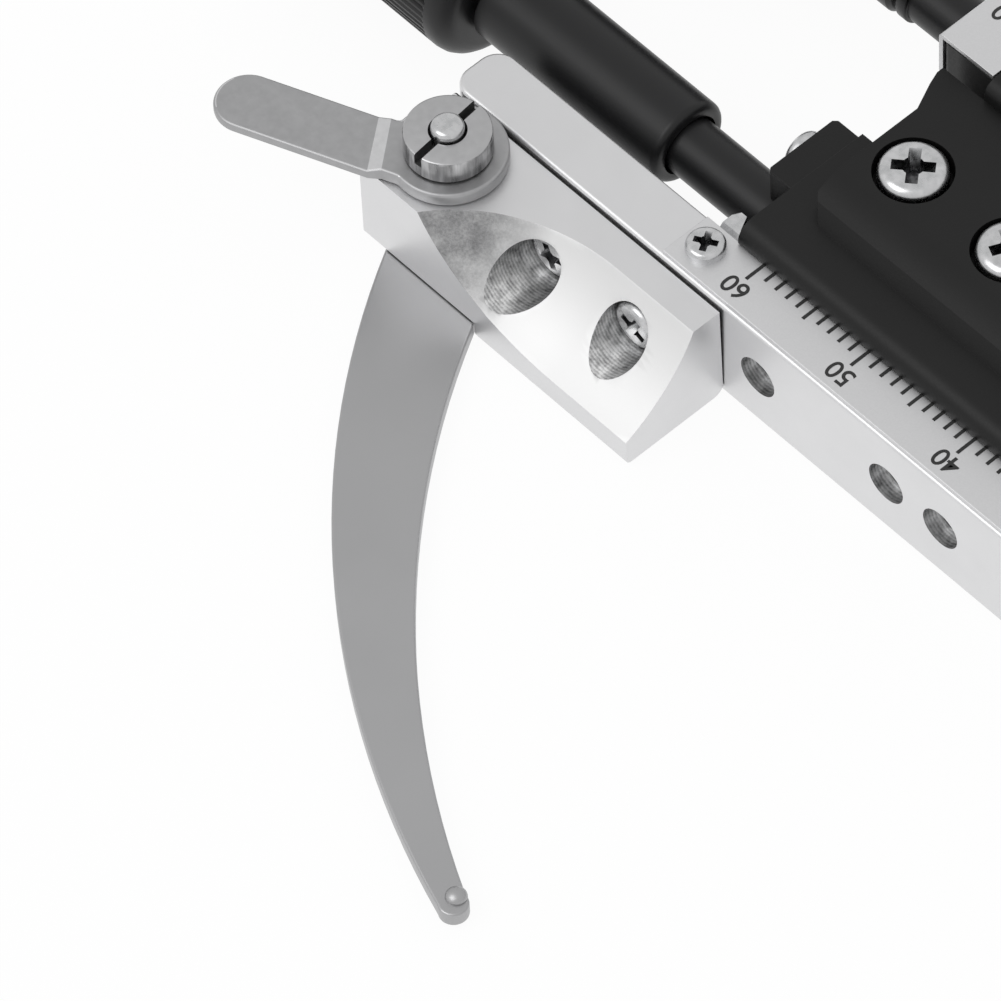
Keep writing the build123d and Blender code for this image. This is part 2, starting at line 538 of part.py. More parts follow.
# X carriage: one casting, set in behind the keeper and flared at its rear
plan = [(BODY_LEFT, BAR_BACK - RUN), (BODY_LEFT, STEP_Y), (STEP_X, STEP_Y), (STEP_X, FLARE_Y),
        (STEP_X + 0.45, FLARE_Y - 1.0), (FLARE_X - 0.35, FLARE_Y - 2.1), (FLARE_X, FLARE_Y - 3.1),
        (FLARE_X, BODY_REAR), (BODY_RIGHT, BODY_REAR), (BODY_RIGHT, BAR_BACK - RUN)]
body = prism_z(plan, BODY_BOTTOM, SHELF_Z)
lip = prism_x([(BAR_BACK - LIP_W, LIP_Z), (LIP_Y, LIP_Z), (LIP_Y, SHELF_Z), (BAR_BACK - LIP_W, SHELF_Z)],
              BODY_LEFT, BODY_RIGHT)
body += lip
body = fillet(edges_along(body, Axis.X, y=LIP_Y, z=SHELF_Z), LIP_R)
raised = [(BODY_REAR, SHELF_Z - 1.0), (BLOCK_FOOT_Y, SHELF_Z - 1.0), (BLOCK_FOOT_Y, SHELF_Z),
          (BLOCK_EDGE_Y, BLOCK_EDGE_Z), (BLOCK_TOP_Y, BLOCK_Z), (BODY_REAR, BLOCK_Z)]
raised = prism_x(raised, FLARE_X, BLOCK_RIGHT)
top_plan = [(BLOCK_LEFT - BLOCK_R, BLOCK_FOOT_Y), (BLOCK_LEFT, BLOCK_FOOT_Y - BLOCK_R), (STEP_X, FLARE_Y),
            (STEP_X + 0.45, FLARE_Y - 1.0), (FLARE_X - 0.35, FLARE_Y - 2.1), (FLARE_X, FLARE_Y - 3.1),
            (FLARE_X, BODY_REAR), (BLOCK_RIGHT, BODY_REAR), (BLOCK_RIGHT, BLOCK_FOOT_Y - BLOCK_R),
            (BLOCK_RIGHT + BLOCK_R, BLOCK_FOOT_Y)]
raised &= prism_z(top_plan, SHELF_Z - 1.0, BLOCK_Z)
body += raised
groove = prism_x(rail_profile(RUN), BODY_LEFT, BODY_RIGHT)
groove += block(BODY_LEFT, BODY_RIGHT, BAR_BACK, BAR_BACK - RUN, RAIL_MID_Z - RAIL_NECK - RUN,
                RAIL_MID_Z + RAIL_NECK + RUN)
groove += block(BODY_LEFT, BODY_RIGHT, ROOT_Y, PITCH_Y - ADDENDUM - GAP / 2, RAIL_LOW - RUN, RAIL_HIGH + RUN)
body -= groove
body -= block(BODY_LEFT, BODY_RIGHT + STOP_WALL, BAR_BACK, STOP_SLOT_Y, BODY_BOTTOM, STOP_SLOT_Z)
X_POCKET_R = X_R + ADDENDUM + POCKET
X_POCKET_LEFT = X_PINION_X + X_FACE / 2 + GAP
body -= rod_x(TUBE_R, BODY_LEFT, X_TUBE_RIGHT, X_AXIS_Y, DRIVE_Z)
body -= rod_x(SHAFT_PASS_R, X_TUBE_RIGHT, X_POCKET_LEFT, X_AXIS_Y, DRIVE_Z)
body -= rod_x(X_POCKET_R, X_POCKET_LEFT, BODY_RIGHT, X_AXIS_Y, DRIVE_Z)
body -= rod_x(KEEPER_SHANK_R + PUSH, BODY_LEFT, BODY_LEFT + KEEPER_T - KEEPER_SHANK_L - GAP, KEEPER_SCREW_Y,
              KEEPER_SCREW_Z)
body -= block(XV_LEFT, XV_RIGHT, XV_REAR, LIP_Y + 1, LIP_Z, SHELF_Z)
for x in XV_SCREW_X:
    body -= rod_z(SMALL_CORE_R + PUSH, LIP_Z - SMALL_CORE_L, LIP_Z, x, XV_SCREW_Y)
body -= block(TONGUE_LEFT, TONGUE_RIGHT, TONGUE_FRONT, BODY_REAR, TONGUE_BOTTOM, TONGUE_TOP)
for x in COVER_SCREW_X:
    body -= rod_z(COUNTERBORE_R, COVER_SEAT_Z, BLOCK_Z, x, COVER_SCREW_Y)
    body -= rod_z(M25_R + PUSH, TONGUE_TOP, COVER_SEAT_Z, x, COVER_SCREW_Y)
parts["x_carriage"] = body

# Cover screws: they hold the carriage on the cross slide's tongue
screw = pan_screw(PAN_R, PAN_H, M25_R, COVER_SHANK_L, 0.9)
screws = [Pos(x, COVER_SCREW_Y, COVER_SEAT_Z) * screw for x in COVER_SCREW_X]
parts["cover_screws"] = Part() + screws

# Cross slide: tongue under the carriage, dovetail bar behind it
SLIDE_FRONT = BODY_REAR
flank = DOVETAIL_FLANK
tail = [(SLIDE_LEFT, SLIDE_TOP), (SLIDE_LEFT, DOVETAIL_TOP), (SLIDE_LEFT + flank, SLIDE_BOTTOM),
        (SLIDE_RIGHT - flank, SLIDE_BOTTOM), (SLIDE_RIGHT, DOVETAIL_TOP), (SLIDE_RIGHT, SLIDE_TOP)]
slide = prism_y(tail, SLIDE_FRONT, SLIDE_REAR)
slide = fillet(edges_along(slide, Axis.X, y=SLIDE_FRONT, z=SLIDE_TOP), 1.2)
slide += block(TONGUE_LEFT, TONGUE_RIGHT, TONGUE_FRONT, SLIDE_FRONT, TONGUE_BOTTOM, TONGUE_TOP)
for x in COVER_SCREW_X:
    slide -= rod_z(M25_R + PUSH, TONGUE_BOTTOM, TONGUE_TOP, x, COVER_SCREW_Y)
rack_left, rack_right = Y_PINION_X + RACK_W / 2, Y_PINION_X - RACK_W / 2
Y_PITCH_Z = DRIVE_Z + Y_R
Y_ROOT_Z = Y_PITCH_Z + DEDENDUM
slide -= block(rack_left, rack_right, RACK_FRONT, RACK_REAR, SLIDE_BOTTOM, Y_ROOT_Z + RACK_T)
for y in RACK_SCREW_Y:
    slide -= rod_z(SCALE_SHANK_R + PUSH, Y_ROOT_Z + RACK_T, SLIDE_TOP - RACK_SCREW_SKIN, Y_PINION_X, y)
slide -= block(Y_STOP_X - Y_STOP_R - GAP, Y_STOP_X + Y_STOP_R + GAP, SLIDE_FRONT,
               Y_STOP_Y - Y_STOP_R - Y_PLUS, SLIDE_BOTTOM, Y_STOP_SLOT_TOP)
slide -= block(SLIDE_LEFT, SLIDE_LEFT - YV_WIDE, YV_NEAR, YV_FAR, SLIDE_TOP - YS_T, SLIDE_TOP)
for y in YV_SCREW_Y:
    slide -= rod_z(SMALL_CORE_R + PUSH, SLIDE_TOP - YS_T - SMALL_CORE_L, SLIDE_TOP - YS_T,
                   SLIDE_LEFT - YV_WIDE + 1.1, y)
parts["cross_slide"] = slide

# Y rack, let into the slide's underside
Y_PITCH = 2 * math.pi * Y_R / Y_TEETH
count = int((RACK_FRONT - RACK_REAR) / Y_PITCH) + 2
first = Y_AXIS_Y - math.floor((Y_AXIS_Y - RACK_REAR) / Y_PITCH + 1) * Y_PITCH
outline = rack_profile(Y_PITCH, Y_ANGLE, first, count)
profile = [(outline[0][0], Y_ROOT_Z + RACK_T)]
profile += [(y, Y_PITCH_Z + h) for y, h in outline]
profile += [(outline[-1][0], Y_ROOT_Z + RACK_T)]
rack = prism_x(profile, rack_left, rack_right)
rack &= block(rack_left, rack_right, RACK_FRONT, RACK_REAR, CHANNEL_FLOOR, Y_ROOT_Z + RACK_T)
for y in RACK_SCREW_Y:
    rack -= rod_z(SCALE_SHANK_R + PUSH, CHANNEL_FLOOR, Y_ROOT_Z + RACK_T, Y_PINION_X, y)
    rack -= rod_z(RAIL_HEAD_R, CHANNEL_FLOOR, Y_ROOT_Z + RACK_HEAD_H, Y_PINION_X, y)
parts["y_rack"] = rack
screws = []
for y in RACK_SCREW_Y:
    screw = rod_z(RAIL_HEAD_R - PUSH, Y_ROOT_Z, Y_ROOT_Z + RACK_HEAD_H, Y_PINION_X, y)
    screw += rod_z(SCALE_SHANK_R, Y_ROOT_Z, SLIDE_TOP - RACK_SCREW_SKIN - GAP, Y_PINION_X, y)
    screws.append(screw)
parts["y_rack_screws"] = Part() + screws

# Verniers and their screws
vernier = block(XV_LEFT - PUSH, XV_RIGHT + PUSH, XV_REAR + PUSH, XV_FRONT, LIP_Z, LIP_Z + XV_T)
for x in XV_SCREW_X:
    vernier -= rod_z(SMALL_CORE_R + PUSH, LIP_Z, LIP_Z + XV_T, x, XV_SCREW_Y)
parts["x_vernier_plate"] = vernier
small = pan_screw(SMALL_HEAD_R, SMALL_HEAD_H, SMALL_CORE_R, SMALL_CORE_L - GAP + XV_T, 0.3)
screws = [Pos(x, XV_SCREW_Y, LIP_Z + XV_T) * small for x in XV_SCREW_X]
parts["x_vernier_screws"] = Part() + screws
vernier = block(SLIDE_LEFT, SLIDE_LEFT - YV_WIDE + PUSH, YV_NEAR - PUSH, YV_FAR + PUSH,
                SLIDE_TOP - YS_T, SLIDE_TOP)
for y in YV_SCREW_Y:
    vernier -= rod_z(SMALL_CORE_R + PUSH, SLIDE_TOP - YS_T, SLIDE_TOP, SLIDE_LEFT - YV_WIDE + 1.1, y)
parts["y_vernier_plate"] = vernier
small = pan_screw(SMALL_HEAD_R, SMALL_HEAD_H, SMALL_CORE_R, SMALL_CORE_L - GAP + YS_T, 0.3)
screws = [Pos(SLIDE_LEFT - YV_WIDE + 1.1, y, SLIDE_TOP) * small for y in YV_SCREW_Y]
parts["y_vernier_screws"] = Part() + screws

# Keeper plate saddles the X tube; one pan screw holds it
keeper = block(BODY_LEFT, BODY_LEFT + KEEPER_T, KEEPER_FRONT, KEEPER_REAR, KEEPER_BOTTOM, KEEPER_TOP)
keeper = chamfer(edges_along(keeper, Axis.Z, x=BODY_LEFT + KEEPER_T), 0.3)
keeper -= rod_x(TUBE_R, BODY_LEFT, BODY_LEFT + KEEPER_T, X_AXIS_Y, DRIVE_Z)
keeper -= rod_x(KEEPER_SHANK_R + PUSH, BODY_LEFT, BODY_LEFT + KEEPER_T, KEEPER_SCREW_Y, KEEPER_SCREW_Z)
parts["tube_keeper"] = keeper
screw = pan_screw(KEEPER_HEAD_R, KEEPER_HEAD_H, KEEPER_SHANK_R, KEEPER_SHANK_L, 0.6)
parts["keeper_screw"] = Pos(BODY_LEFT + KEEPER_T, KEEPER_SCREW_Y, KEEPER_SCREW_Z) * Rot(0, 90, 0) * screw

# Fixed tubes and end bushes
tube = rod_x(TUBE_R, X_TUBE_RIGHT, X_TUBE_LEFT, X_AXIS_Y, DRIVE_Z)
parts["x_bearing_tube"] = tube - rod_x(TUBE_BORE, X_TUBE_RIGHT, X_TUBE_LEFT, X_AXIS_Y, DRIVE_Z)
tube = rod_x(Y_TUBE_R, Y_TUBE_RIGHT, Y_TUBE_LEFT, Y_AXIS_Y, DRIVE_Z)
tube += rod_x(Y_COLLAR_R, Y_TUBE_LEFT - Y_COLLAR_L, Y_TUBE_LEFT, Y_AXIS_Y, DRIVE_Z)
parts["y_bearing_tube"] = tube - rod_x(TUBE_BORE, Y_TUBE_RIGHT, Y_TUBE_LEFT, Y_AXIS_Y, DRIVE_Z)
bush = rod_x(X_POCKET_R, BODY_RIGHT, BODY_RIGHT + X_BUSH_L, X_AXIS_Y, DRIVE_Z)
bush &= block(BODY_RIGHT, BODY_RIGHT + X_BUSH_L, PITCH_Y - ADDENDUM - GAP, BODY_REAR, 0, SHELF_Z)
parts["x_end_bush"] = bush - rod_x(BUSH_BORE, BODY_RIGHT, BODY_RIGHT + X_BUSH_L, X_AXIS_Y, DRIVE_Z)
Y_POCKET = Y_FACE / 2 + GAP
Y_BUSH_X = Y_PINION_X - Y_POCKET
bush = rod_x(Y_BUSH_R, Y_BUSH_X - Y_BUSH_L, Y_BUSH_X, Y_AXIS_Y, DRIVE_Z)
parts["y_end_bush"] = bush - rod_x(BUSH_BORE, Y_BUSH_X - Y_BUSH_L, Y_BUSH_X, Y_AXIS_Y, DRIVE_Z)

# Shafts, pinions, sleeves and knobs
parts["x_shaft"] = shaft(BODY_RIGHT + 1.0, X_KNOB_NEAR, X_KNOB_L, X_AXIS_Y)
parts["y_shaft"] = shaft(Y_BUSH_X - Y_BUSH_L + 0.5, Y_KNOB_NEAR, Y_KNOB_L, Y_AXIS_Y)
gear = gear_face(X_TEETH, X_R, X_ANGLE)
twist = math.degrees(X_FACE / X_R) * math.tan(math.radians(HELIX))
helical = Solid.extrude_linear_with_rotation(gear.face(), (0, 0, 0), (0, 0, X_FACE), twist)
helical = Rot(0, 0, -twist / 2) * helical - Cylinder(SHAFT_R, 3 * X_FACE)
turn = Location((X_PINION_X - X_FACE / 2, X_AXIS_Y, DRIVE_Z)) * Rot(0, 90, 0) * Rot(0, 0, 90)
parts["x_pinion"] = turn * helical
gear = gear_face(Y_TEETH, Y_R, Y_ANGLE)
spur = extrude(gear, amount=Y_FACE) - Cylinder(SHAFT_R, 3 * Y_FACE)
turn = Location((Y_PINION_X - Y_FACE / 2, Y_AXIS_Y, DRIVE_Z)) * Rot(0, 90, 0) * Rot(0, 0, 180)
parts["y_pinion"] = turn * spur
parts["x_sleeve"] = sleeve(X_SLEEVE_R, X_SLEEVE_NEAR, X_SLEEVE_FAR, TUBE_R, X_TUBE_LEFT, X_KNOB_NEAR,
                           X_AXIS_Y)
parts["y_sleeve"] = sleeve(Y_SLEEVE_R, Y_SLEEVE_NEAR, Y_SLEEVE_FAR, Y_TUBE_R, Y_SLEEVE_NEAR, Y_KNOB_NEAR,
                           Y_AXIS_Y)
parts["x_knob"] = knob(X_KNOB_NEAR, X_KNOB_L, X_AXIS_Y)
parts["y_knob"] = knob(Y_KNOB_NEAR, Y_KNOB_L, Y_AXIS_Y)
parts["x_knob_screw"] = knob_screw(X_KNOB_NEAR, X_KNOB_L, X_AXIS_Y)
parts["y_knob_screw"] = knob_screw(Y_KNOB_NEAR, Y_KNOB_L, Y_AXIS_Y)

# Base housing: dovetail way above, pinion pocket below, two tapped holes in its flat underside
base = block(BASE_LEFT, BASE_RIGHT, BASE_FRONT, BASE_REAR, 0, BASE_TOP)
base = fillet(edges_along(base, Axis.Z), 0.6)
way_left, way_right = SLIDE_LEFT + SIDE_GAP, SLIDE_RIGHT - SIDE_GAP - GIB_T
way = [(way_left, BASE_TOP + 1), (way_left, DOVETAIL_TOP), (way_left + flank, SLIDE_BOTTOM - RUN),
       (way_right - flank, SLIDE_BOTTOM - RUN), (way_right, DOVETAIL_TOP), (way_right, BASE_TOP + 1)]
base -= prism_y(way, BASE_FRONT, BASE_REAR)
base -= block(rack_left + GAP, rack_right - GAP, BASE_FRONT, BASE_REAR, CHANNEL_FLOOR, SLIDE_BOTTOM)
Y_POCKET_R = Y_R + ADDENDUM + POCKET
base -= block(Y_PINION_X + Y_POCKET, Y_PINION_X - Y_POCKET, Y_AXIS_Y + Y_POCKET_R, Y_AXIS_Y - Y_POCKET_R,
              DRIVE_Z - Y_POCKET_R, SLIDE_BOTTOM)
base -= rod_x(Y_TUBE_R, BASE_LEFT, Y_TUBE_RIGHT, Y_AXIS_Y, DRIVE_Z)
base -= rod_x(SHAFT_PASS_R, Y_TUBE_RIGHT, Y_PINION_X, Y_AXIS_Y, DRIVE_Z)
base -= rod_x(Y_BUSH_R, Y_BUSH_X, Y_BUSH_X - Y_BUSH_L, Y_AXIS_Y, DRIVE_Z)
base -= rod_z(Y_STOP_R, SLIDE_BOTTOM - Y_STOP_DEPTH, SLIDE_BOTTOM, Y_STOP_X, Y_STOP_Y)
for y in GIB_SCREW_Y:
    base -= rod_x(GIB_SCREW_R, BASE_RIGHT, way_right, y, GIB_SCREW_Z)
for y in YS_SCREW_Y:
    base -= rod_z(SCALE_SHANK_R + PUSH, BASE_TOP - SCALE_SHANK_L, BASE_TOP, YS_SCREW_X, y)
BOLT_Y = (BASE_FRONT + BASE_REAR) / 2
BOLT_MID_X = (BASE_LEFT + BASE_RIGHT) / 2
for side in (-1, 1):
    base -= rod_z(BOLT_R, 0, BOLT_DEPTH, BOLT_MID_X + side * BOLT_SPAN / 2, BOLT_Y)
parts["base_housing"] = base

# Stop pin of the Y travel
parts["y_stop_pin"] = rod_z(Y_STOP_R, SLIDE_BOTTOM - Y_STOP_DEPTH, Y_STOP_SLOT_TOP - GAP, Y_STOP_X, Y_STOP_Y)

# Gib strip and its set screws
gib_left = SLIDE_RIGHT - RUN
gib_right = way_right + PUSH
gib = [(gib_left, SLIDE_TOP - 1.0), (gib_left, DOVETAIL_TOP), (gib_left - flank, SLIDE_BOTTOM),
       (gib_right - flank, SLIDE_BOTTOM), (gib_right, DOVETAIL_TOP), (gib_right, SLIDE_TOP - 1.0)]
parts["y_gib_strip"] = prism_y(gib, BASE_FRONT - GAP, BASE_REAR + GAP)
tip_x = way_right - flank * (DOVETAIL_TOP - GIB_SCREW_Z) / (DOVETAIL_TOP - SLIDE_BOTTOM)
screws = []
for y in GIB_SCREW_Y:
    screw = rod_x(GIB_SCREW_R - PUSH, BASE_RIGHT + 0.4, tip_x, y, GIB_SCREW_Z)
    screw &= prism_y([(BASE_RIGHT, SLIDE_BOTTOM), (BASE_RIGHT, DOVETAIL_TOP), (way_right, DOVETAIL_TOP),
                      (way_right - flank, SLIDE_BOTTOM)], y + 3, y - 3)
    screw -= block(BASE_RIGHT, BASE_RIGHT + 0.9, y - 3, y + 3, GIB_SCREW_Z - 0.2, GIB_SCREW_Z + 0.2)
    screws.append(screw)
parts["y_gib_screws"] = Part() + screws

# Y scale plate: folded sheet on the base's left edge
sheet = [(BASE_LEFT + YS_T, YS_FLANGE_BOTTOM), (BASE_LEFT + YS_T, BASE_TOP + YS_T),
         (YS_RIGHT, BASE_TOP + YS_T), (YS_RIGHT, BASE_TOP), (BASE_LEFT, BASE_TOP),
         (BASE_LEFT, YS_FLANGE_BOTTOM)]
sheet = prism_y(sheet, YS_NEAR, BASE_REAR)
sheet = fillet(edges_along(sheet, Axis.Y, x=BASE_LEFT + YS_T, z=BASE_TOP + YS_T), YS_T)
for y in YS_SCREW_Y:
    sheet -= rod_z(SCALE_SHANK_R + PUSH, BASE_TOP, BASE_TOP + YS_T, YS_SCREW_X, y)
parts["y_scale_plate"] = sheet
screw = pan_screw(SCALE_HEAD_R, SCALE_HEAD_H, SCALE_SHANK_R, SCALE_SHANK_L, 0.5)
parts["y_scale_screws"] = Part() + [Pos(YS_SCREW_X, y, BASE_TOP + YS_T) * screw for y in YS_SCREW_Y]

os.makedirs("parts", exist_ok=True)
for name, shape in parts.items():
    export_step(HOME * shape, f"parts/{name}.step")
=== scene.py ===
import bpy
import json
import math
from mathutils import Matrix, Vector

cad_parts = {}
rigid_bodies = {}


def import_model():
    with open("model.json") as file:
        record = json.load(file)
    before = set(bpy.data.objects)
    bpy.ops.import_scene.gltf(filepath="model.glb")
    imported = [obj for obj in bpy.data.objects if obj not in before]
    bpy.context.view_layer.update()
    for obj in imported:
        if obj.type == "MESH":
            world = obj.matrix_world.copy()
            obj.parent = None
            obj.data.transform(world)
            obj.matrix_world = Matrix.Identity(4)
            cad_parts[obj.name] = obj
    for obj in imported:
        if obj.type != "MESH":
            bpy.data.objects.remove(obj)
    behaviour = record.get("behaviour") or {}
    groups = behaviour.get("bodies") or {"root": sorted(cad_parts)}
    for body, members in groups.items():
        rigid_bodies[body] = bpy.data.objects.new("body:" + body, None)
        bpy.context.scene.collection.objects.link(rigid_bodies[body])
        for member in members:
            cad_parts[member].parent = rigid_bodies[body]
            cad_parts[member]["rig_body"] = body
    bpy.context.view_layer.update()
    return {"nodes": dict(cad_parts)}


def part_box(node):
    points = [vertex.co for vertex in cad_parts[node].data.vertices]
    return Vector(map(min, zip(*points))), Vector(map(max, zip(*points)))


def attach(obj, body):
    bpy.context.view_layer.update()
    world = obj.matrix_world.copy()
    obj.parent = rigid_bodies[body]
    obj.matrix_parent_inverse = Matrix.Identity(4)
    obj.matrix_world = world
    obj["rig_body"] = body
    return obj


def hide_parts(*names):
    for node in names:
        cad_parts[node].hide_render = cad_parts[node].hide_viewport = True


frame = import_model()

# Camera: a long lens looks down on the end of the bar with the sprung finger, as a close
# catalogue view does. It stands at a distance from a point just over the stage's surface.
MM = 0.001
AIM, DISTANCE = Vector((16.846, 61.363, 1.154)), 676.014
AZIMUTH, ELEVATION, ROLL = (math.radians(angle) for angle in (139.838, 53.449, -3.115))
LENS, FILM = 367.116, 36.0
flat = math.cos(ELEVATION)
back = Vector((flat * math.cos(AZIMUTH), flat * math.sin(AZIMUTH), math.sin(ELEVATION)))
level = Vector((0, 0, 1)).cross(back).normalized()
upright = back.cross(level)
right = level * math.cos(ROLL) + upright * math.sin(ROLL)
up = upright * math.cos(ROLL) - level * math.sin(ROLL)
bpy.ops.object.camera_add(location=(AIM + back * DISTANCE) * MM)
camera = bpy.context.object
camera.rotation_euler = Matrix((right, up, back)).transposed().to_euler()
camera.data.lens, camera.data.sensor_width = LENS, FILM
camera.data.clip_start = 0.05
bpy.context.scene.camera = camera
bpy.context.scene.view_settings.view_transform = "Standard"


# Studio: a white paper floor under the device, an even pale room and one broad soft lamp in
# front of the bar. The paper shows white to the lens and still holds the shadow.
def linear(code):
    """A colour written as sRGB hex, in linear light."""
    parts = [int(code[i:i + 2], 16) / 255 for i in (1, 3, 5)]
    return [c / 12.92 if c <= 0.04045 else ((c + 0.055) / 1.055) ** 2.4 for c in parts] + [1]


def link(material, node, sources):
    """Links the outputs of other nodes to a node's inputs, which go by name or by number."""
    for name, source in sources.items():
        material.node_tree.links.new(source, node.inputs[name])


def add(material, kind, settings, sources=()):
    """Adds a node, sets its inputs and properties, and links other nodes to it."""
    made = material.node_tree.nodes.new("ShaderNode" + kind)
    for name, value in settings.items():
        if name in made.inputs:
            made.inputs[name].default_value = value
        else:
            setattr(made, name, value)
    link(material, made, dict(sources))
    return made


PAPER_GLOW, WORLD_LIGHT = 0.94, 0.78
# The paper lies this far under the device's flat underside, so that no two faces share a plane
FLOOR_WIDE, FLOOR_DROP = 6.0, 0.05
LAMP_AT, LAMP_SIZE, LAMP_WATTS = Vector((160.0, 480.0, 600.0)), 0.5, 1.5


def paper():
    """Matt white paper sweep: the lens, gloss and glass see it nearly pure white."""
    sheet = bpy.data.materials.new("white_paper")
    sheet.use_nodes = True
    sheet.node_tree.nodes.clear()
    matt = add(sheet, "BsdfDiffuse", {"Color": linear("#F4F4F4")})
    glow = add(sheet, "Emission", {"Strength": 1.0})
    ray = add(sheet, "LightPath", {})
    seen = add(sheet, "Math", {"operation": "ADD"},
               {0: ray.outputs["Is Camera Ray"], 1: ray.outputs["Is Glossy Ray"]})
    both = add(sheet, "Math", {"operation": "ADD", "use_clamp": True},
               {0: seen.outputs[0], 1: ray.outputs["Is Transmission Ray"]})
    share = add(sheet, "Math", {"operation": "MULTIPLY"}, {0: both.outputs[0]})
    share.inputs[1].default_value = PAPER_GLOW
    mix = add(sheet, "MixShader", {}, {"Fac": share.outputs[0], 1: matt.outputs[0], 2: glow.outputs[0]})
    add(sheet, "OutputMaterial", {}, {"Surface": mix.outputs[0]})
    return sheet


bpy.ops.object.select_all(action="DESELECT")
bpy.ops.mesh.primitive_plane_add(size=FLOOR_WIDE, location=(0, 0, -FLOOR_DROP * MM))
floor = bpy.context.object
floor.name = "floor"
floor.data.materials.append(paper())

world = bpy.data.worlds.new("pale_room")
world.use_nodes = True
world.node_tree.nodes["Background"].inputs["Color"].default_value = linear("#FFFFFF")
world.node_tree.nodes["Background"].inputs["Strength"].default_value = WORLD_LIGHT
bpy.context.scene.world = world

bpy.ops.object.light_add(type="AREA", location=LAMP_AT * MM)
lamp = bpy.context.object
lamp.rotation_euler = (-LAMP_AT).to_track_quat("-Z", "Y").to_euler()
lamp.data.size, lamp.data.energy = LAMP_SIZE, LAMP_WATTS


# X bar: a milled and satin-anodised aluminium bar with rounded ends. Its long edges are broken,
# and the bores down its front take the screws of the rack rail behind it.
def new_finish(name, metallic=1.0):
    """Starts a material: it, its shader, and the place on the piece that its patterns follow."""
    material = bpy.data.materials.new(name)
    material.use_nodes = True
    shader = material.node_tree.nodes["Principled BSDF"]
    shader.inputs["Metallic"].default_value = metallic
    return material, shader, {"Vector": add(material, "TexCoord", {}).outputs["Object"]}


def satin_aluminium():
    """Anodised aluminium: pale and even, with the fine grain of the etched surface."""
    metal, shader, place = new_finish("satin_anodised_aluminium")
    # Etched grain of about 0.15 mm
    grain = add(metal, "TexNoise", {"Scale": 1 / (0.15 * MM), "Detail": 3.0}, place)
    # Patches of 4 mm, a little brighter or duller
    cloud = add(metal, "TexNoise", {"Scale": 1 / (4 * MM), "Detail": 2.0}, place)
    tint = add(metal, "ValToRGB", {}, {"Fac": cloud.outputs["Fac"]})
    tint.color_ramp.elements[0].color = linear("#DBDBDC")
    tint.color_ramp.elements[1].color = linear("#E3E3E4")
    gloss = add(metal, "MapRange", {"To Min": 0.34, "To Max": 0.46}, {"Value": grain.outputs["Fac"]})
    bump = add(metal, "Bump", {"Strength": 0.25, "Distance": 0.01 * MM},
               {"Height": grain.outputs["Fac"]})
    link(metal, shader, {"Base Color": tint.outputs["Color"], "Roughness": gloss.outputs["Result"],
         "Normal": bump.outputs["Normal"]})
    return metal


def break_edges(piece, edge, segments=2, sharp=35):
    """Breaks a piece's edges by a small round and shades it smooth between them."""
    bpy.ops.object.select_all(action="DESELECT")
    bpy.context.view_layer.objects.active = piece
    piece.select_set(True)
    bpy.ops.object.modifier_add(type="BEVEL")
    bevel = piece.modifiers[-1]
    bevel.width, bevel.segments = edge * MM, segments
    bevel.limit_method, bevel.angle_limit = "ANGLE", math.radians(sharp)
    bevel.use_clamp_overlap, bevel.miter_outer = True, "MITER_ARC"
    bpy.ops.object.modifier_apply(modifier=bevel.name)
    bpy.ops.object.shade_smooth_by_angle(angle=math.radians(sharp))
    bpy.ops.object.modifier_add(type="WEIGHTED_NORMAL")
    piece.modifiers[-1].keep_sharp = True
    bpy.ops.object.modifier_apply(modifier=piece.modifiers[-1].name)


def stand_in(piece, node, finish):
    """Names a piece after the node that it replaces and gives it the node's body and its real finish."""
    piece.name = node + "_made"
    piece.data.materials.clear()
    piece.data.materials.append(finish)
    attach(piece, frame["nodes"][node]["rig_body"])
    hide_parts(node)


def eased(node, edge, finish, segments=2, sharp=35):
    """A CAD node's own shape with its edges broken, in its real finish."""
    piece = bpy.data.objects.new(node, frame["nodes"][node].data.copy())
    bpy.context.collection.objects.link(piece)
    bpy.ops.object.select_all(action="DESELECT")
    bpy.context.view_layer.objects.active = piece
    piece.select_set(True)
    bpy.ops.object.mode_set(mode="EDIT")
    bpy.ops.mesh.select_all(action="SELECT")
    bpy.ops.mesh.remove_doubles(threshold=0.001 * MM)
    bpy.ops.mesh.dissolve_limited(angle_limit=math.radians(0.5))
    bpy.ops.object.mode_set(mode="OBJECT")
    break_edges(piece, edge, segments, sharp)
    stand_in(piece, node, finish)
    return piece


def bored_aluminium():
    """The wall of a drilled and counterbored hole: turned rings, dull and bright by turns."""
    metal, shader, place = new_finish("bored_aluminium")
    # Feed marks 0.25 mm apart, drawn coarser than real ones so that they show
    rings = add(metal, "TexWave", {"bands_direction": "Y", "Scale": math.tau / (20 * 0.25 * MM),
                                   "Distortion": 2.0, "Detail": 3.0, "Detail Scale": 1.5}, place)
    # Smears of 0.7 mm
    smear = add(metal, "TexNoise", {"Scale": 1 / (0.7 * MM), "Detail": 4.0, "Roughness": 0.7}, place)
    # The smears, with this share of the rings added
    ring_share = 0.16
    both = add(metal, "Math", {"operation": "MULTIPLY_ADD"},
               {0: rings.outputs["Fac"], 2: smear.outputs["Fac"]})
    both.inputs[1].default_value = ring_share
    tint = add(metal, "ValToRGB", {}, {"Fac": both.outputs[0]})
    tint.color_ramp.elements[0].position, tint.color_ramp.elements[1].position = 0.36, 0.72
    tint.color_ramp.elements[0].color = linear("#8A8A8B")
    tint.color_ramp.elements[1].color = linear("#F0F0F0")
    bump = add(metal, "Bump", {"Strength": 0.3, "Distance": 0.03 * MM}, {"Height": both.outputs[0]})
    shader.inputs["Roughness"].default_value = 0.36
    link(metal, shader, {"Base Color": tint.outputs["Color"], "Normal": bump.outputs["Normal"]})
    return metal


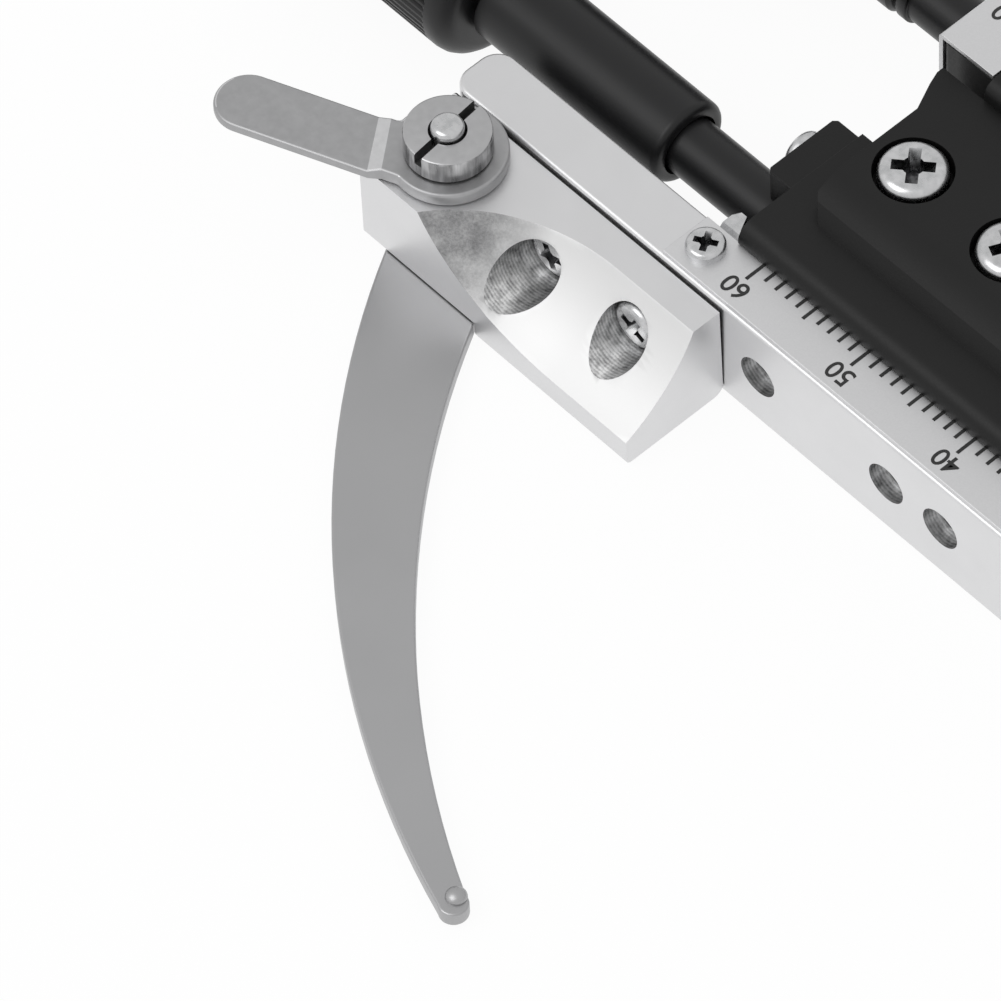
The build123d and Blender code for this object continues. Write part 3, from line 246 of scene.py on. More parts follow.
def refinish(piece, finish, wanted):
    """Gives the faces that a test on normal and centre wants a finish of their own."""
    piece.data.materials.append(finish)
    for face in piece.data.polygons:
        if wanted(face.normal, face.center):
            face.material_index = len(piece.data.materials) - 1


aluminium, bored = satin_aluminium(), bored_aluminium()
MILLED_EDGE = 0.12
bar = eased("x_bar", MILLED_EDGE, aluminium)
# The bores' walls lie past the rail screws' seats, near the line of their axes
SEAT_DEEP, BORE_AROUND, BORE_BESIDE = 1.3, 1.7, 1.0
screw_low, screw_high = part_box("x_rail_screws")
screw_z, screw_seat = (screw_low.z + screw_high.z) / 2, screw_high.y - SEAT_DEEP * MM
refinish(bar, bored, lambda normal, centre: abs(normal.y) < 0.3 and centre.y > screw_seat
         and abs(centre.z - screw_z) < BORE_AROUND * MM
         and screw_low.x - BORE_BESIDE * MM < centre.x < screw_high.x + BORE_BESIDE * MM)


# Left and far jaw blocks: machined from the same aluminium and screwed to the bar's front. The
# left one has a scoop for the rim of a wide objective, cut with a ball mill that left fine marks.
jaw_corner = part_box("jaw_block")[0]
# Places on the block are from this corner: the bar's side, lower right end
JAW_LONG, JAW_DEEP, JAW_HIGH, JAW_EDGE = 25.95, 8.9, 8.8, 0.1
SCOOP_R, SCOOP_STRETCH, SCOOP_RUN = 13.03, 1.21, 12.0
SCOOP_START = (7.45, 14.45, 14.2)
# The cutter stopped here; over the run before it the scoop is painted darker by up to this share, as
# painted shade on its steep end. Its surface is known by faces within MILL_NEAR
MILL_STOP, SHADE_RUN, SHADE_MOST, MILL_NEAR = 16.5, 4.0, 0.75, 0.15
BORE_R, BORE_SEAT = 2.08, 2.6
BORES = ((13.02, 5.8), (4.9, 5.55))
# The relief under the left end, the stud's bore, and how far from the bar the joint's faces get painted
# shade
ROOM_LEFT, ROOM_TOP = 14.9, 1.55
STUD_PLACE, STUD_BORE = Vector((22.0, 4.3)), 1.55
SEAM = 0.22
# A point lies on a face within NEAR, and a tool reaches PAST the face that it cuts
NEAR, PAST = 0.01, 1.0


def joint_grime():
    """Painted shade for joints, grooves and recesses between pieces: black and quite dull."""
    shade_paint, shader, place = new_finish("joint_grime", metallic=0.0)
    # Mottling of 0.4 mm in the painted shade
    shade_mottle = add(shade_paint, "TexNoise", {"Scale": 1 / (0.4 * MM), "Detail": 3.0}, place)
    tint = add(shade_paint, "ValToRGB", {}, {"Fac": shade_mottle.outputs["Fac"]})
    tint.color_ramp.elements[0].color = linear("#0C0C0C")
    tint.color_ramp.elements[1].color = linear("#3A3A3A")
    shader.inputs["Roughness"].default_value = 0.8
    link(shade_paint, shader, {"Base Color": tint.outputs["Color"]})
    return shade_paint


def cutter_marked():
    """Ball-milled aluminium, speckled: painted brighter than the bar as a painted reflection, and painted
    darker towards where the cutter stopped as painted shade.
    """
    metal, shader, place = new_finish("ball_milled_aluminium_painted_shade")
    axes = add(metal, "SeparateXYZ", {}, place)
    # Speckles of 0.2 mm, over patches of 1.5 mm
    speckle = add(metal, "TexNoise", {"Scale": 1 / (0.2 * MM), "Detail": 4.0, "Roughness": 0.7}, place)
    patch = add(metal, "TexNoise", {"Scale": 1 / (1.5 * MM), "Detail": 2.0}, place)
    stop = jaw_corner.x + MILL_STOP * MM
    run = add(metal, "MapRange", {"From Min": stop - SHADE_RUN * MM, "From Max": stop, "To Max": SHADE_MOST},
              {"Value": axes.outputs["X"]})
    rough = add(metal, "Math", {"operation": "ADD"}, {0: speckle.outputs["Fac"], 1: patch.outputs["Fac"]})
    # The painted shade grows along X towards the ball end and is broken up by the speckle
    dull = add(metal, "Math", {"operation": "MULTIPLY"}, {0: run.outputs["Result"], 1: rough.outputs[0]})
    # Painted reflection and shade: #EBEBEB for the lit scoop, down to #868687 in the painted shade of the
    # steep end
    tint = add(metal, "ValToRGB", {}, {"Fac": dull.outputs[0]})
    tint.color_ramp.elements[0].color = linear("#EBEBEB")
    tint.color_ramp.elements[1].color = linear("#868687")
    bump = add(metal, "Bump", {"Strength": 0.25, "Distance": 0.02 * MM}, {"Height": speckle.outputs["Fac"]})
    shader.inputs["Roughness"].default_value = 0.62
    link(metal, shader, {"Base Color": tint.outputs["Color"], "Normal": bump.outputs["Normal"]})
    return metal


def box_tool(low, high):
    """A block between two corners, drawn at 1 m for 1 mm as all the tools here."""
    bpy.ops.mesh.primitive_cube_add(size=1, location=(Vector(low) + Vector(high)) / 2)
    tool = bpy.context.object
    tool.scale = Vector(high) - Vector(low)
    bpy.ops.object.transform_apply(location=True, scale=True)
    return tool


def round_tool(radius, start, end, sides=72):
    """A round bar from one point to another."""
    run = Vector(end) - Vector(start)
    bpy.ops.mesh.primitive_cylinder_add(vertices=sides, radius=radius, depth=run.length,
                                        location=(Vector(start) + Vector(end)) / 2,
                                        rotation=run.to_track_quat("Z", "Y").to_euler())
    bpy.ops.object.transform_apply(location=True, rotation=True)
    return bpy.context.object


def combine(piece, tool, operation="DIFFERENCE"):
    """Cuts a tool out of a piece, or adds it, and takes the tool away."""
    bpy.ops.object.select_all(action="DESELECT")
    bpy.context.view_layer.objects.active = piece
    piece.select_set(True)
    bpy.ops.object.modifier_add(type="BOOLEAN")
    cut = piece.modifiers[-1]
    cut.operation, cut.object, cut.solver = operation, tool, "EXACT"
    bpy.ops.object.modifier_apply(modifier=cut.name)
    bpy.data.objects.remove(tool)


def settle(piece, at):
    """Brings a piece drawn at 1 m for 1 mm to its real size and place."""
    piece.data.transform(Matrix.Translation(at) @ Matrix.Scale(MM, 4))


def ball_mill(radius, stretch, start, length):
    """The space that the ball mill clears: half an egg with a straight run behind it."""
    bpy.ops.mesh.primitive_uv_sphere_add(segments=144, ring_count=72, radius=radius,
                                         rotation=(0, math.radians(90), 0))
    tool = bpy.context.object
    bpy.ops.object.transform_apply(rotation=True)
    bpy.ops.object.mode_set(mode="EDIT")
    bpy.ops.mesh.select_all(action="SELECT")
    bpy.ops.transform.resize(value=(stretch, 1, 1))
    bpy.ops.mesh.bisect(plane_co=(0, 0, 0), plane_no=(1, 0, 0), clear_inner=True)
    # Eight short steps keep the wall's facets near square, so that it shades evenly
    steps = 8
    for _ in range(steps):
        bpy.ops.mesh.extrude_edges_move(TRANSFORM_OT_translate={"value": (-length / steps, 0, 0)})
    bpy.ops.mesh.edge_face_add()
    bpy.ops.mesh.select_all(action="SELECT")
    bpy.ops.mesh.normals_make_consistent(inside=False)
    bpy.ops.transform.translate(value=start)
    bpy.ops.object.mode_set(mode="OBJECT")
    return tool


jaw = box_tool((0, 0, 0), (JAW_LONG, JAW_DEEP, JAW_HIGH))
# Rounds along the bottom's front and back, chamfers along the back's top and right end
for broken, rounds, wanted in ((0.5, 5, lambda end: end.y > JAW_DEEP - NEAR and end.z < NEAR),
                               (0.9, 5, lambda end: end.y < NEAR and end.z < NEAR),
                               (0.2, 1, lambda end: end.y < NEAR and end.z > JAW_HIGH - NEAR),
                               (0.2, 1, lambda end: end.y < NEAR and end.x < NEAR)):
    bpy.ops.object.mode_set(mode="EDIT")
    bpy.ops.mesh.select_mode(type="EDGE")
    bpy.ops.mesh.select_all(action="DESELECT")
    bpy.ops.object.mode_set(mode="OBJECT")
    for edge in jaw.data.edges:
        edge.select = all(wanted(jaw.data.vertices[k].co) for k in edge.vertices)
    bpy.ops.object.mode_set(mode="EDIT")
    bpy.ops.mesh.bevel(offset=broken, segments=rounds)
    bpy.ops.object.mode_set(mode="OBJECT")
combine(jaw, ball_mill(SCOOP_R, SCOOP_STRETCH, SCOOP_START, SCOOP_RUN))
for x, z in BORES:
    combine(jaw, round_tool(BORE_R, (x, BORE_SEAT, z), (x, JAW_DEEP + PAST, z)))
combine(jaw, box_tool((ROOM_LEFT, -PAST, -PAST), (JAW_LONG + PAST, JAW_DEEP + PAST, ROOM_TOP)))
combine(jaw, round_tool(STUD_BORE, (*STUD_PLACE, 0), (*STUD_PLACE, JAW_HIGH + PAST)))
# The slivers that the cuts leave are merged
bpy.ops.object.mode_set(mode="EDIT")
bpy.ops.mesh.select_all(action="SELECT")
bpy.ops.mesh.remove_doubles(threshold=0.02)
bpy.ops.object.mode_set(mode="OBJECT")
settle(jaw, jaw_corner)
break_edges(jaw, JAW_EDGE)
stand_in(jaw, "jaw_block", aluminium)
scoop_axis = jaw_corner + Vector(SCOOP_START) * MM


def scooped(normal, centre):
    """True for a face on the ball mill's surface."""
    out = centre - scoop_axis
    out.x = max(out.x, 0) / SCOOP_STRETCH
    return abs(out.length - SCOOP_R * MM) < MILL_NEAR * MM


# Painted reflection and painted shade on the ball mill's surface
refinish(jaw, cutter_marked(), scooped)
painted_shade = joint_grime()
# Painted shade on the broken edges in the seam at the bar
refinish(jaw, painted_shade, lambda normal, centre: -0.95 < normal.y < -0.2 and centre.y < jaw_corner.y + SEAM * MM
         and (normal.z > 0.2 or normal.x < -0.2))
for x, z in BORES:
    bore = jaw_corner + Vector((x, 0, z)) * MM
    refinish(jaw, bored, lambda normal, centre: math.hypot(centre.x - bore.x, centre.z - bore.z)
             < (BORE_R + 2 * NEAR) * MM and centre.y - bore.y > (BORE_SEAT - JAW_EDGE) * MM
             and abs(normal.y) < 0.3)
eased("fixed_jaw_block", MILLED_EDGE, aluminium)


# Screws along the rail and inside the castings: turned and plated steel, sunk below the surface,
# where only a part of each head shows.
def plated_steel(name, dark, light, streak=1.0, smooth=0.2, dull=0.36):
    """Plated steel, slightly uneven as small turned parts are; a low streak draws it out along Z."""
    metal, shader, place = new_finish(name)
    drawn = add(metal, "Mapping", {"Scale": (1, 1, streak)}, place)
    # Plating unevenness of 0.6 mm
    cloud = add(metal, "TexNoise", {"Scale": 1 / (0.6 * MM), "Detail": 4.0},
                {"Vector": drawn.outputs["Vector"]})
    tint = add(metal, "ValToRGB", {}, {"Fac": cloud.outputs["Fac"]})
    tint.color_ramp.elements[0].position, tint.color_ramp.elements[1].position = 0.3, 0.7
    tint.color_ramp.elements[0].color = linear(dark)
    tint.color_ramp.elements[1].color = linear(light)
    gloss = add(metal, "MapRange", {"To Min": smooth, "To Max": dull}, {"Value": cloud.outputs["Fac"]})
    bump = add(metal, "Bump", {"Strength": 0.12, "Distance": 0.02 * MM}, {"Height": cloud.outputs["Fac"]})
    link(metal, shader, {"Base Color": tint.outputs["Color"], "Roughness": gloss.outputs["Result"],
         "Normal": bump.outputs["Normal"]})
    return metal


def dress(nodes, finish):
    """Gives CAD nodes that keep their own mesh their real finish."""
    for node in nodes:
        for material_slot in frame["nodes"][node].material_slots:
            material_slot.material = finish


steel = plated_steel("bright_plated_steel", "#BEBFC0", "#D8D8D9")
dress(("fixed_jaw_screws", "fixed_finger_pins", "x_rail_screws", "x_stop_pins", "y_rack_screws",
       "y_stop_pin", "y_gib_screws", "x_vernier_screws", "y_vernier_screws", "x_knob_screw",
       "y_knob_screw"), steel)


# Sprung finger: blanked from 1.2 mm spring steel, tumbled so that its rim is rounded, with a
# small dome pressed up in its tip. It presses the slide against the fixed finger.
def tumbled_steel():
    """Ground and tumbled spring steel: an even mid grey."""
    metal, shader, place = new_finish("tumbled_spring_steel")
    # Tumbling marks of 0.1 mm
    grain = add(metal, "TexNoise", {"Scale": 1 / (0.1 * MM), "Detail": 2.0}, place)
    cloud = add(metal, "TexNoise", {"Scale": 1 / (6 * MM), "Detail": 2.0}, place)
    tint = add(metal, "ValToRGB", {}, {"Fac": cloud.outputs["Fac"]})
    tint.color_ramp.elements[0].color = linear("#AEAEAF")
    tint.color_ramp.elements[1].color = linear("#B4B4B5")
    gloss = add(metal, "MapRange", {"To Min": 0.36, "To Max": 0.44}, {"Value": grain.outputs["Fac"]})
    bump = add(metal, "Bump", {"Strength": 0.12, "Distance": 0.01 * MM}, {"Height": grain.outputs["Fac"]})
    link(metal, shader, {"Base Color": tint.outputs["Color"], "Roughness": gloss.outputs["Result"],
         "Normal": bump.outputs["Normal"]})
    return metal


def turned(stations, sides=96):
    """A lathe-turned shape round Z at 1 m for 1 mm: a disc drawn on through (height, radius) stations."""
    height, radius = stations[0]
    bpy.ops.object.select_all(action="DESELECT")
    bpy.ops.mesh.primitive_circle_add(vertices=sides, radius=radius, fill_type="NGON",
                                      location=(0, 0, height))
    shape = bpy.context.object
    bpy.ops.object.transform_apply(location=True)
    bpy.ops.object.mode_set(mode="EDIT")
    bpy.ops.mesh.select_all(action="SELECT")
    for next_height, next_radius in stations[1:]:
        bpy.ops.mesh.extrude_region_move(TRANSFORM_OT_translate={"value": (0, 0, next_height - height)})
        share = next_radius / radius
        bpy.ops.transform.resize(value=(share, share, 1))
        height, radius = next_height, next_radius
    bpy.ops.mesh.select_all(action="SELECT")
    bpy.ops.mesh.normals_make_consistent(inside=False)
    bpy.ops.object.mode_set(mode="OBJECT")
    return shape


spring_steel = tumbled_steel()
RIM_ROUND, FAR_RIM_ROUND = 0.32, 0.2
finger = eased("finger", RIM_ROUND, spring_steel, segments=4)
DOME_R, DOME_HIGH, DOME_ROOT, DOME_BACK = 0.75, 0.5, 0.3, Vector((1.25, -1.5))
finger_low, finger_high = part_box("finger")
dome = turned([(-DOME_ROOT, DOME_R)] + [(DOME_HIGH * math.sin(turn), DOME_R * math.cos(turn))
                                        for turn in (0, 0.3, 0.6, 0.9, 1.2, 1.4)], sides=48)
settle(dome, Vector((finger_low.x, finger_high.y, finger_high.z)) + (DOME_BACK * MM).to_3d())
dome.data.materials.append(spring_steel)
bpy.context.view_layer.objects.active = dome
dome.select_set(True)
bpy.ops.object.shade_smooth_by_angle(angle=math.radians(50))
finger.select_set(True)
bpy.context.view_layer.objects.active = finger
bpy.ops.object.join()
eased("fixed_finger", FAR_RIM_ROUND, spring_steel, segments=3)
dress(("torsion_spring",), spring_steel)


# Thumb lever, stud and slotted cap nut: nickel-plated steel. The lever is pressed from sheet, drops
# a little past its disc and is keyed to the stud; the nut's slot takes a screwdriver.
LEVER_LOW, LEVER_TOP, DISC_TOP, DISC_R = 9.03, 9.83, 10.15, 4.1
ARM_HEADING, ARM_LONG, ARM_NEAR, ARM_FAR = 22.3, 16.6, 3.8, -0.88
BEND_OUT, BEND_IN, BEND_SLANT = 5.35, 4.4, -0.28
NECK_IN, LEVER_EDGE = 0.3, 0.28
stud_place = Vector((jaw_corner.x, jaw_corner.y, 0)) + (STUD_PLACE * MM).to_3d()
lever = box_tool((0, ARM_FAR, LEVER_LOW), (ARM_LONG, ARM_NEAR, LEVER_TOP))
bpy.ops.object.mode_set(mode="EDIT")
bpy.ops.mesh.select_mode(type="EDGE")
bpy.ops.mesh.select_all(action="DESELECT")
bpy.ops.object.mode_set(mode="OBJECT")
for edge in lever.data.edges:
    one, other = (lever.data.vertices[k].co for k in edge.vertices)
    edge.select = min(one.x, other.x) > ARM_LONG - NEAR and abs(one.y - other.y) < NEAR
bpy.ops.object.mode_set(mode="EDIT")
bpy.ops.mesh.bevel(offset=(ARM_NEAR - ARM_FAR) / 2 - NEAR, segments=14)
for bend in (BEND_IN, BEND_OUT):
    bpy.ops.mesh.select_all(action="SELECT")
    bpy.ops.mesh.bisect(plane_co=(bend, 0, 0), plane_no=(1, -BEND_SLANT, 0))
for rise, wanted in (((0, 0, DISC_TOP - LEVER_TOP), lambda end: end.z > LEVER_TOP - NEAR),
                     ((0, -NECK_IN, 0), lambda end: end.y > ARM_NEAR - NEAR)):
    bpy.ops.mesh.select_mode(type="VERT")
    bpy.ops.mesh.select_all(action="DESELECT")
    bpy.ops.object.mode_set(mode="OBJECT")
    for corner in lever.data.vertices:
        corner.select = corner.co.x - BEND_SLANT * corner.co.y < BEND_IN + NEAR and wanted(corner.co)
    bpy.ops.object.mode_set(mode="EDIT")
    bpy.ops.transform.translate(value=rise)
bpy.ops.object.mode_set(mode="OBJECT")
combine(lever, round_tool(DISC_R, (0, 0, LEVER_LOW), (0, 0, DISC_TOP), 64), "UNION")
# The disc's points beside the arm's are merged, so that one round runs on from the other
bpy.ops.object.mode_set(mode="EDIT")
bpy.ops.mesh.select_all(action="SELECT")
bpy.ops.mesh.remove_doubles(threshold=0.09)
bpy.ops.mesh.dissolve_limited(angle_limit=math.radians(1))
bpy.ops.object.mode_set(mode="OBJECT")
lever.data.transform(Matrix.Rotation(math.radians(ARM_HEADING), 4, "Z"))
settle(lever, stud_place)
break_edges(lever, LEVER_EDGE, segments=4, sharp=28)
nickelled = plated_steel("nickelled_sheet_steel", "#A8A8A9", "#B0B0B1", smooth=0.4, dull=0.5)
stand_in(lever, "finger_lever", nickelled)
arm_run = Vector((math.cos(math.radians(ARM_HEADING)), math.sin(math.radians(ARM_HEADING)), 0))
# Painted light: the slope at the bend is painted lighter than the rest of the lever, as the light falls on
# it
refinish(lever, plated_steel("nickel_painted_lighter_at_the_bend", "#D0D0D1", "#DADADB", smooth=0.35, dull=0.45),
         lambda normal, centre: 0.15 < normal.dot(arm_run) < 0.5 and normal.z > 0.85)

# The groove under the nut is as high as it is deep, less the small slope at its top
CAP_R, CAP_TOP, CAP_BORE, CAP_GROOVE, CAP_ROUND = 3.05, 12.15, 1.34, 0.18, 0.16
SLOT_WIDE, SLOT_DEEP, SLOT_TURN = 0.62, 0.9, 6
cap = turned([(DISC_TOP, CAP_R - CAP_GROOVE), (DISC_TOP + CAP_GROOVE - 0.02, CAP_R - CAP_GROOVE),
              (DISC_TOP + CAP_GROOVE, CAP_R), (CAP_TOP - CAP_ROUND, CAP_R),
              (CAP_TOP - 0.05, CAP_R - 0.05), (CAP_TOP, CAP_R - CAP_ROUND)])
combine(cap, round_tool(CAP_BORE, (0, 0, CAP_TOP - SLOT_DEEP), (0, 0, CAP_TOP + PAST), 48))
slot_tool = box_tool((-SLOT_WIDE / 2, -CAP_R - PAST, CAP_TOP - SLOT_DEEP),
                     (SLOT_WIDE / 2, CAP_R + PAST, CAP_TOP + PAST))
slot_tool.data.transform(Matrix.Rotation(math.radians(SLOT_TURN), 4, "Z"))
combine(cap, slot_tool)
settle(cap, stud_place)
cap.select_set(True)
bpy.context.view_layer.objects.active = cap
bpy.ops.object.shade_smooth_by_angle(angle=math.radians(50))
cap_top = plated_steel("nickelled_cap_top", "#B4B4B5", "#BCBCBD", smooth=0.3, dull=0.4)
stand_in(cap, "cap_nut", cap_top)
# Painted reflection and shade: the side gets dark and bright streaks down its height, darker in places than
# the top
refinish(cap, plated_steel("nickelled_cap_side_painted_reflection", "#4E4E4F", "#CACACB", streak=0.12),
         lambda normal, centre: abs(normal.z) < 0.5
         and (centre - stud_place).to_2d().length > (CAP_R - 0.15) * MM)
# Painted shade in the groove under the nut and deep in its bore and slot
refinish(cap, painted_shade, lambda normal, centre: centre.z < (DISC_TOP + CAP_GROOVE - NEAR) * MM
         or centre.z < (CAP_TOP - 0.3) * MM and (centre - stud_place).to_2d().length < (CAP_R - 0.2) * MM)

RIVET_FOOT, RIVET_TOP, RIVET_R, STUD_R, STUD_EDGE = 0.4, 1.6, 1.2, 1.5, 0.04
TIP_R, TIP_TOP = 1.16, 12.85
stud = turned([(RIVET_FOOT, RIVET_R), (RIVET_TOP, RIVET_R), (RIVET_TOP, STUD_R), (DISC_TOP, STUD_R),
               (DISC_TOP, TIP_R), (TIP_TOP - 0.4, TIP_R), (TIP_TOP - 0.2, TIP_R * 0.94),
               (TIP_TOP - 0.06, TIP_R * 0.78), (TIP_TOP, TIP_R * 0.5), (TIP_TOP - 0.08, TIP_R * 0.3)],
              sides=64)
settle(stud, stud_place)
break_edges(stud, STUD_EDGE)
stand_in(stud, "pivot_stud", steel)


# X and Y scale plates: thin rolled aluminium, clear anodised. The X plate lies on the bar; the Y
# plate is folded over the base's edge. Both are held by small screws.
def rolled_aluminium():
    """Clear-anodised sheet: pale, matt and nearly even."""
    metal, shader, place = new_finish("rolled_anodised_sheet")
    # Etched grain of 0.12 mm
    grain = add(metal, "TexNoise", {"Scale": 1 / (0.12 * MM), "Detail": 3.0}, place)
    tint = add(metal, "ValToRGB", {}, {"Fac": grain.outputs["Fac"]})
    tint.color_ramp.elements[0].color = linear("#D5D5D6")
    tint.color_ramp.elements[1].color = linear("#DFDFE0")
    bump = add(metal, "Bump", {"Strength": 0.2, "Distance": 0.01 * MM}, {"Height": grain.outputs["Fac"]})
    shader.inputs["Roughness"].default_value = 0.48
    link(metal, shader, {"Base Color": tint.outputs["Color"], "Normal": bump.outputs["Normal"]})
    return metal


sheet_metal = rolled_aluminium()
SHEET_EDGE = 0.05
for plate in ("x_scale_plate", "y_scale_plate", "x_vernier_plate", "y_vernier_plate"):
    eased(plate, SHEET_EDGE, sheet_metal)


# Scale marks: lines and numbers engraved in the plates and filled with black paint. The X scale
# reads 0 to 60 mm along the bar, the Y scale 0 to 30 mm; each vernier divides 9 mm by ten.
def engraving_paint():
    """Black filling paint: matt, a little greyer where it lies thin."""
    paint, shader, place = new_finish("black_filling_paint", metallic=0.0)
    shader.inputs["Roughness"].default_value = 0.6
    # Thin spots of 0.2 mm
    thin = add(paint, "TexNoise", {"Scale": 1 / (0.2 * MM)}, place)
    tint = add(paint, "ValToRGB", {}, {"Fac": thin.outputs["Fac"]})
    tint.color_ramp.elements[0].color = linear("#141414")
    tint.color_ramp.elements[1].color = linear("#2C2C2C")
    link(paint, shader, {"Base Color": tint.outputs["Color"]})
    return paint


black_paint = engraving_paint()
LINE_W, LINE_PROUD = 0.25, 0.02
TEN_LONG, FIVE_LONG, ONE_LONG = 1.8, 1.4, 1.05
NUMBER_SIZE, STROKE = 2.02, 0.02
# Each scale's last line is this far inside its plate's end, and its numbers this far from the edge
X_LAST_IN, X_NUMBER_IN = 5.6, 2.72
Y_LAST_IN, Y_NUMBER_IN = 4.25, 3.02
# The verniers read 12 and 0 at rest
X_READS, Y_READS = 12, 0
VERNIER_STEP, VERNIER_LONG, VERNIER_SHORT = 0.9, 1.5, 1.1


def line(x, y, length, along, top):
    """One scale line from its foot on the plate's edge, length mm long, along X or Y."""
    bpy.ops.mesh.primitive_cube_add(size=1)
    mark = bpy.context.object
    size = (length, LINE_W) if along == "X" else (LINE_W, abs(length))
    middle = (x + length / 2, y) if along == "X" else (x, y + length / 2)
    mark.scale = (abs(size[0]) * MM, size[1] * MM, 2 * LINE_PROUD * MM)
    mark.location = (middle[0] * MM, middle[1] * MM, top)
    return mark


def number(value, x, y, top):
    """A number of the scale, centred at a place on the plate."""
    bpy.ops.object.text_add(location=(x * MM, y * MM, top))
    text = bpy.context.object
    text.data.body = str(value)
    text.data.align_x, text.data.align_y = "CENTER", "CENTER"
    text.data.size = NUMBER_SIZE * MM
    text.data.extrude, text.data.offset = LINE_PROUD * MM, STROKE * MM
    bpy.ops.object.convert(target="MESH")
    return bpy.context.object


def engraved(name, marks, body):
    """Joins the marks of one plate into a piece that rides with it."""
    bpy.ops.object.select_all(action="DESELECT")
    for mark in marks:
        mark.select_set(True)
    bpy.context.view_layer.objects.active = marks[0]
    bpy.ops.object.join()
    piece = bpy.context.object
    bpy.ops.object.transform_apply(location=True, rotation=True, scale=True)
    piece.name = name
    piece.data.materials.clear()
    piece.data.materials.append(black_paint)
    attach(piece, body)


def line_length(value):
    """Tens are longest, then fives, then single millimetres."""
    return TEN_LONG if value % 10 == 0 else FIVE_LONG if value % 5 == 0 else ONE_LONG


def vernier_line(k):
    """A vernier's line, down from its plate's edge: every fifth is longer."""
    return -VERNIER_LONG if k % 5 == 0 else -VERNIER_SHORT


low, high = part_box("x_scale_plate")
x_zero, x_edge = high.x / MM - X_LAST_IN - 60, low.y / MM
marks = [line(x_zero + value, x_edge, line_length(value), "Y", high.z) for value in range(61)]
marks += [number(value, x_zero + value, x_edge + X_NUMBER_IN, high.z) for value in range(0, 61, 10)]
engraved("x_scale_marks", marks, "bar")

low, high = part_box("y_scale_plate")
y_zero, y_edge = high.y / MM - Y_LAST_IN - 30, low.x / MM
marks = [line(y_edge, y_zero + value, line_length(value), "X", high.z) for value in range(31)]
marks += [number(value, y_edge + Y_NUMBER_IN, y_zero + value, high.z) for value in range(0, 31, 10)]
engraved("y_scale_marks", marks, "base")

low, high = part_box("x_vernier_plate")
marks = [line(x_zero + X_READS + VERNIER_STEP * k, high.y / MM, vernier_line(k), "Y", high.z)
         for k in range(11)]
engraved("x_vernier_marks", marks, "carriage")

low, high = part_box("y_vernier_plate")
marks = [line(high.x / MM, y_zero + Y_READS + VERNIER_STEP * k, vernier_line(k), "X", high.z)
         for k in range(11)]
engraved("y_vernier_marks", marks, "carriage")


# X carriage, base and keeper: black castings, painted with a fine wrinkle. The carriage holds the
# bar's rail and the X drive; the cross slide under it runs in the base's dovetail.
def painted_casting():
    """Black stoving enamel over a casting: satin, with a fine grain that lit edges show."""
    enamel, shader, place = new_finish("black_wrinkle_enamel", metallic=0.0)
    # Wrinkle of 0.18 mm
    grain = add(enamel, "TexNoise", {"Scale": 1 / (0.18 * MM), "Detail": 2.0}, place)
    cloud = add(enamel, "TexNoise", {"Scale": 1 / (5 * MM), "Detail": 2.0}, place)
    tint = add(enamel, "ValToRGB", {}, {"Fac": cloud.outputs["Fac"]})
    tint.color_ramp.elements[0].color = linear("#0E0E0E")
    tint.color_ramp.elements[1].color = linear("#121212")
    shader.inputs["Specular IOR Level"].default_value = 0.3
    gloss = add(enamel, "MapRange", {"To Min": 0.38, "To Max": 0.52}, {"Value": grain.outputs["Fac"]})
    bump = add(enamel, "Bump", {"Strength": 0.35, "Distance": 0.02 * MM}, {"Height": grain.outputs["Fac"]})
    link(enamel, shader, {"Base Color": tint.outputs["Color"], "Roughness": gloss.outputs["Result"],
         "Normal": bump.outputs["Normal"]})
    return enamel


enamel = painted_casting()
CAST_EDGE, KEEPER_EDGE = 0.18, 0.22
for part in ("x_carriage", "base_housing", "cross_slide"):
    eased(part, CAST_EDGE, enamel, segments=3)
keeper = eased("tube_keeper", KEEPER_EDGE, enamel, segments=3)
# Painted shade on the keeper's broken edges towards the carriage, for the seam
refinish(keeper, painted_shade, lambda normal, centre: -0.97 < normal.x < -0.2)


# Drive tubes, sleeves and knobs: black acetal and blackened steel tube, turned smooth. The
# sleeves turn on the tubes with the knobs, which have straight grips and smooth round shoulders.
def turned_acetal():
    """Black acetal, turned and tumbled: smooth and satin, with hardly any grain."""
    plastic, shader, place = new_finish("black_acetal", metallic=0.0)
    # Tumbling grain of 0.12 mm
    grain = add(plastic, "TexNoise", {"Scale": 1 / (0.12 * MM), "Detail": 2.0}, place)
    cloud = add(plastic, "TexNoise", {"Scale": 1 / (3 * MM), "Detail": 3.0}, place)
    tint = add(plastic, "ValToRGB", {}, {"Fac": cloud.outputs["Fac"]})
    tint.color_ramp.elements[0].color = linear("#141415")
    tint.color_ramp.elements[1].color = linear("#19191A")
    shader.inputs["Specular IOR Level"].default_value = 0.35
    gloss = add(plastic, "MapRange", {"To Min": 0.3, "To Max": 0.42}, {"Value": grain.outputs["Fac"]})
    bump = add(plastic, "Bump", {"Strength": 0.1, "Distance": 0.01 * MM}, {"Height": grain.outputs["Fac"]})
    link(plastic, shader, {"Base Color": tint.outputs["Color"], "Roughness": gloss.outputs["Result"],
         "Normal": bump.outputs["Normal"]})
    return plastic


acetal = turned_acetal()
TUBE_EDGE = 0.08
for part in ("x_bearing_tube", "y_bearing_tube", "y_sleeve"):
    eased(part, TUBE_EDGE, acetal)

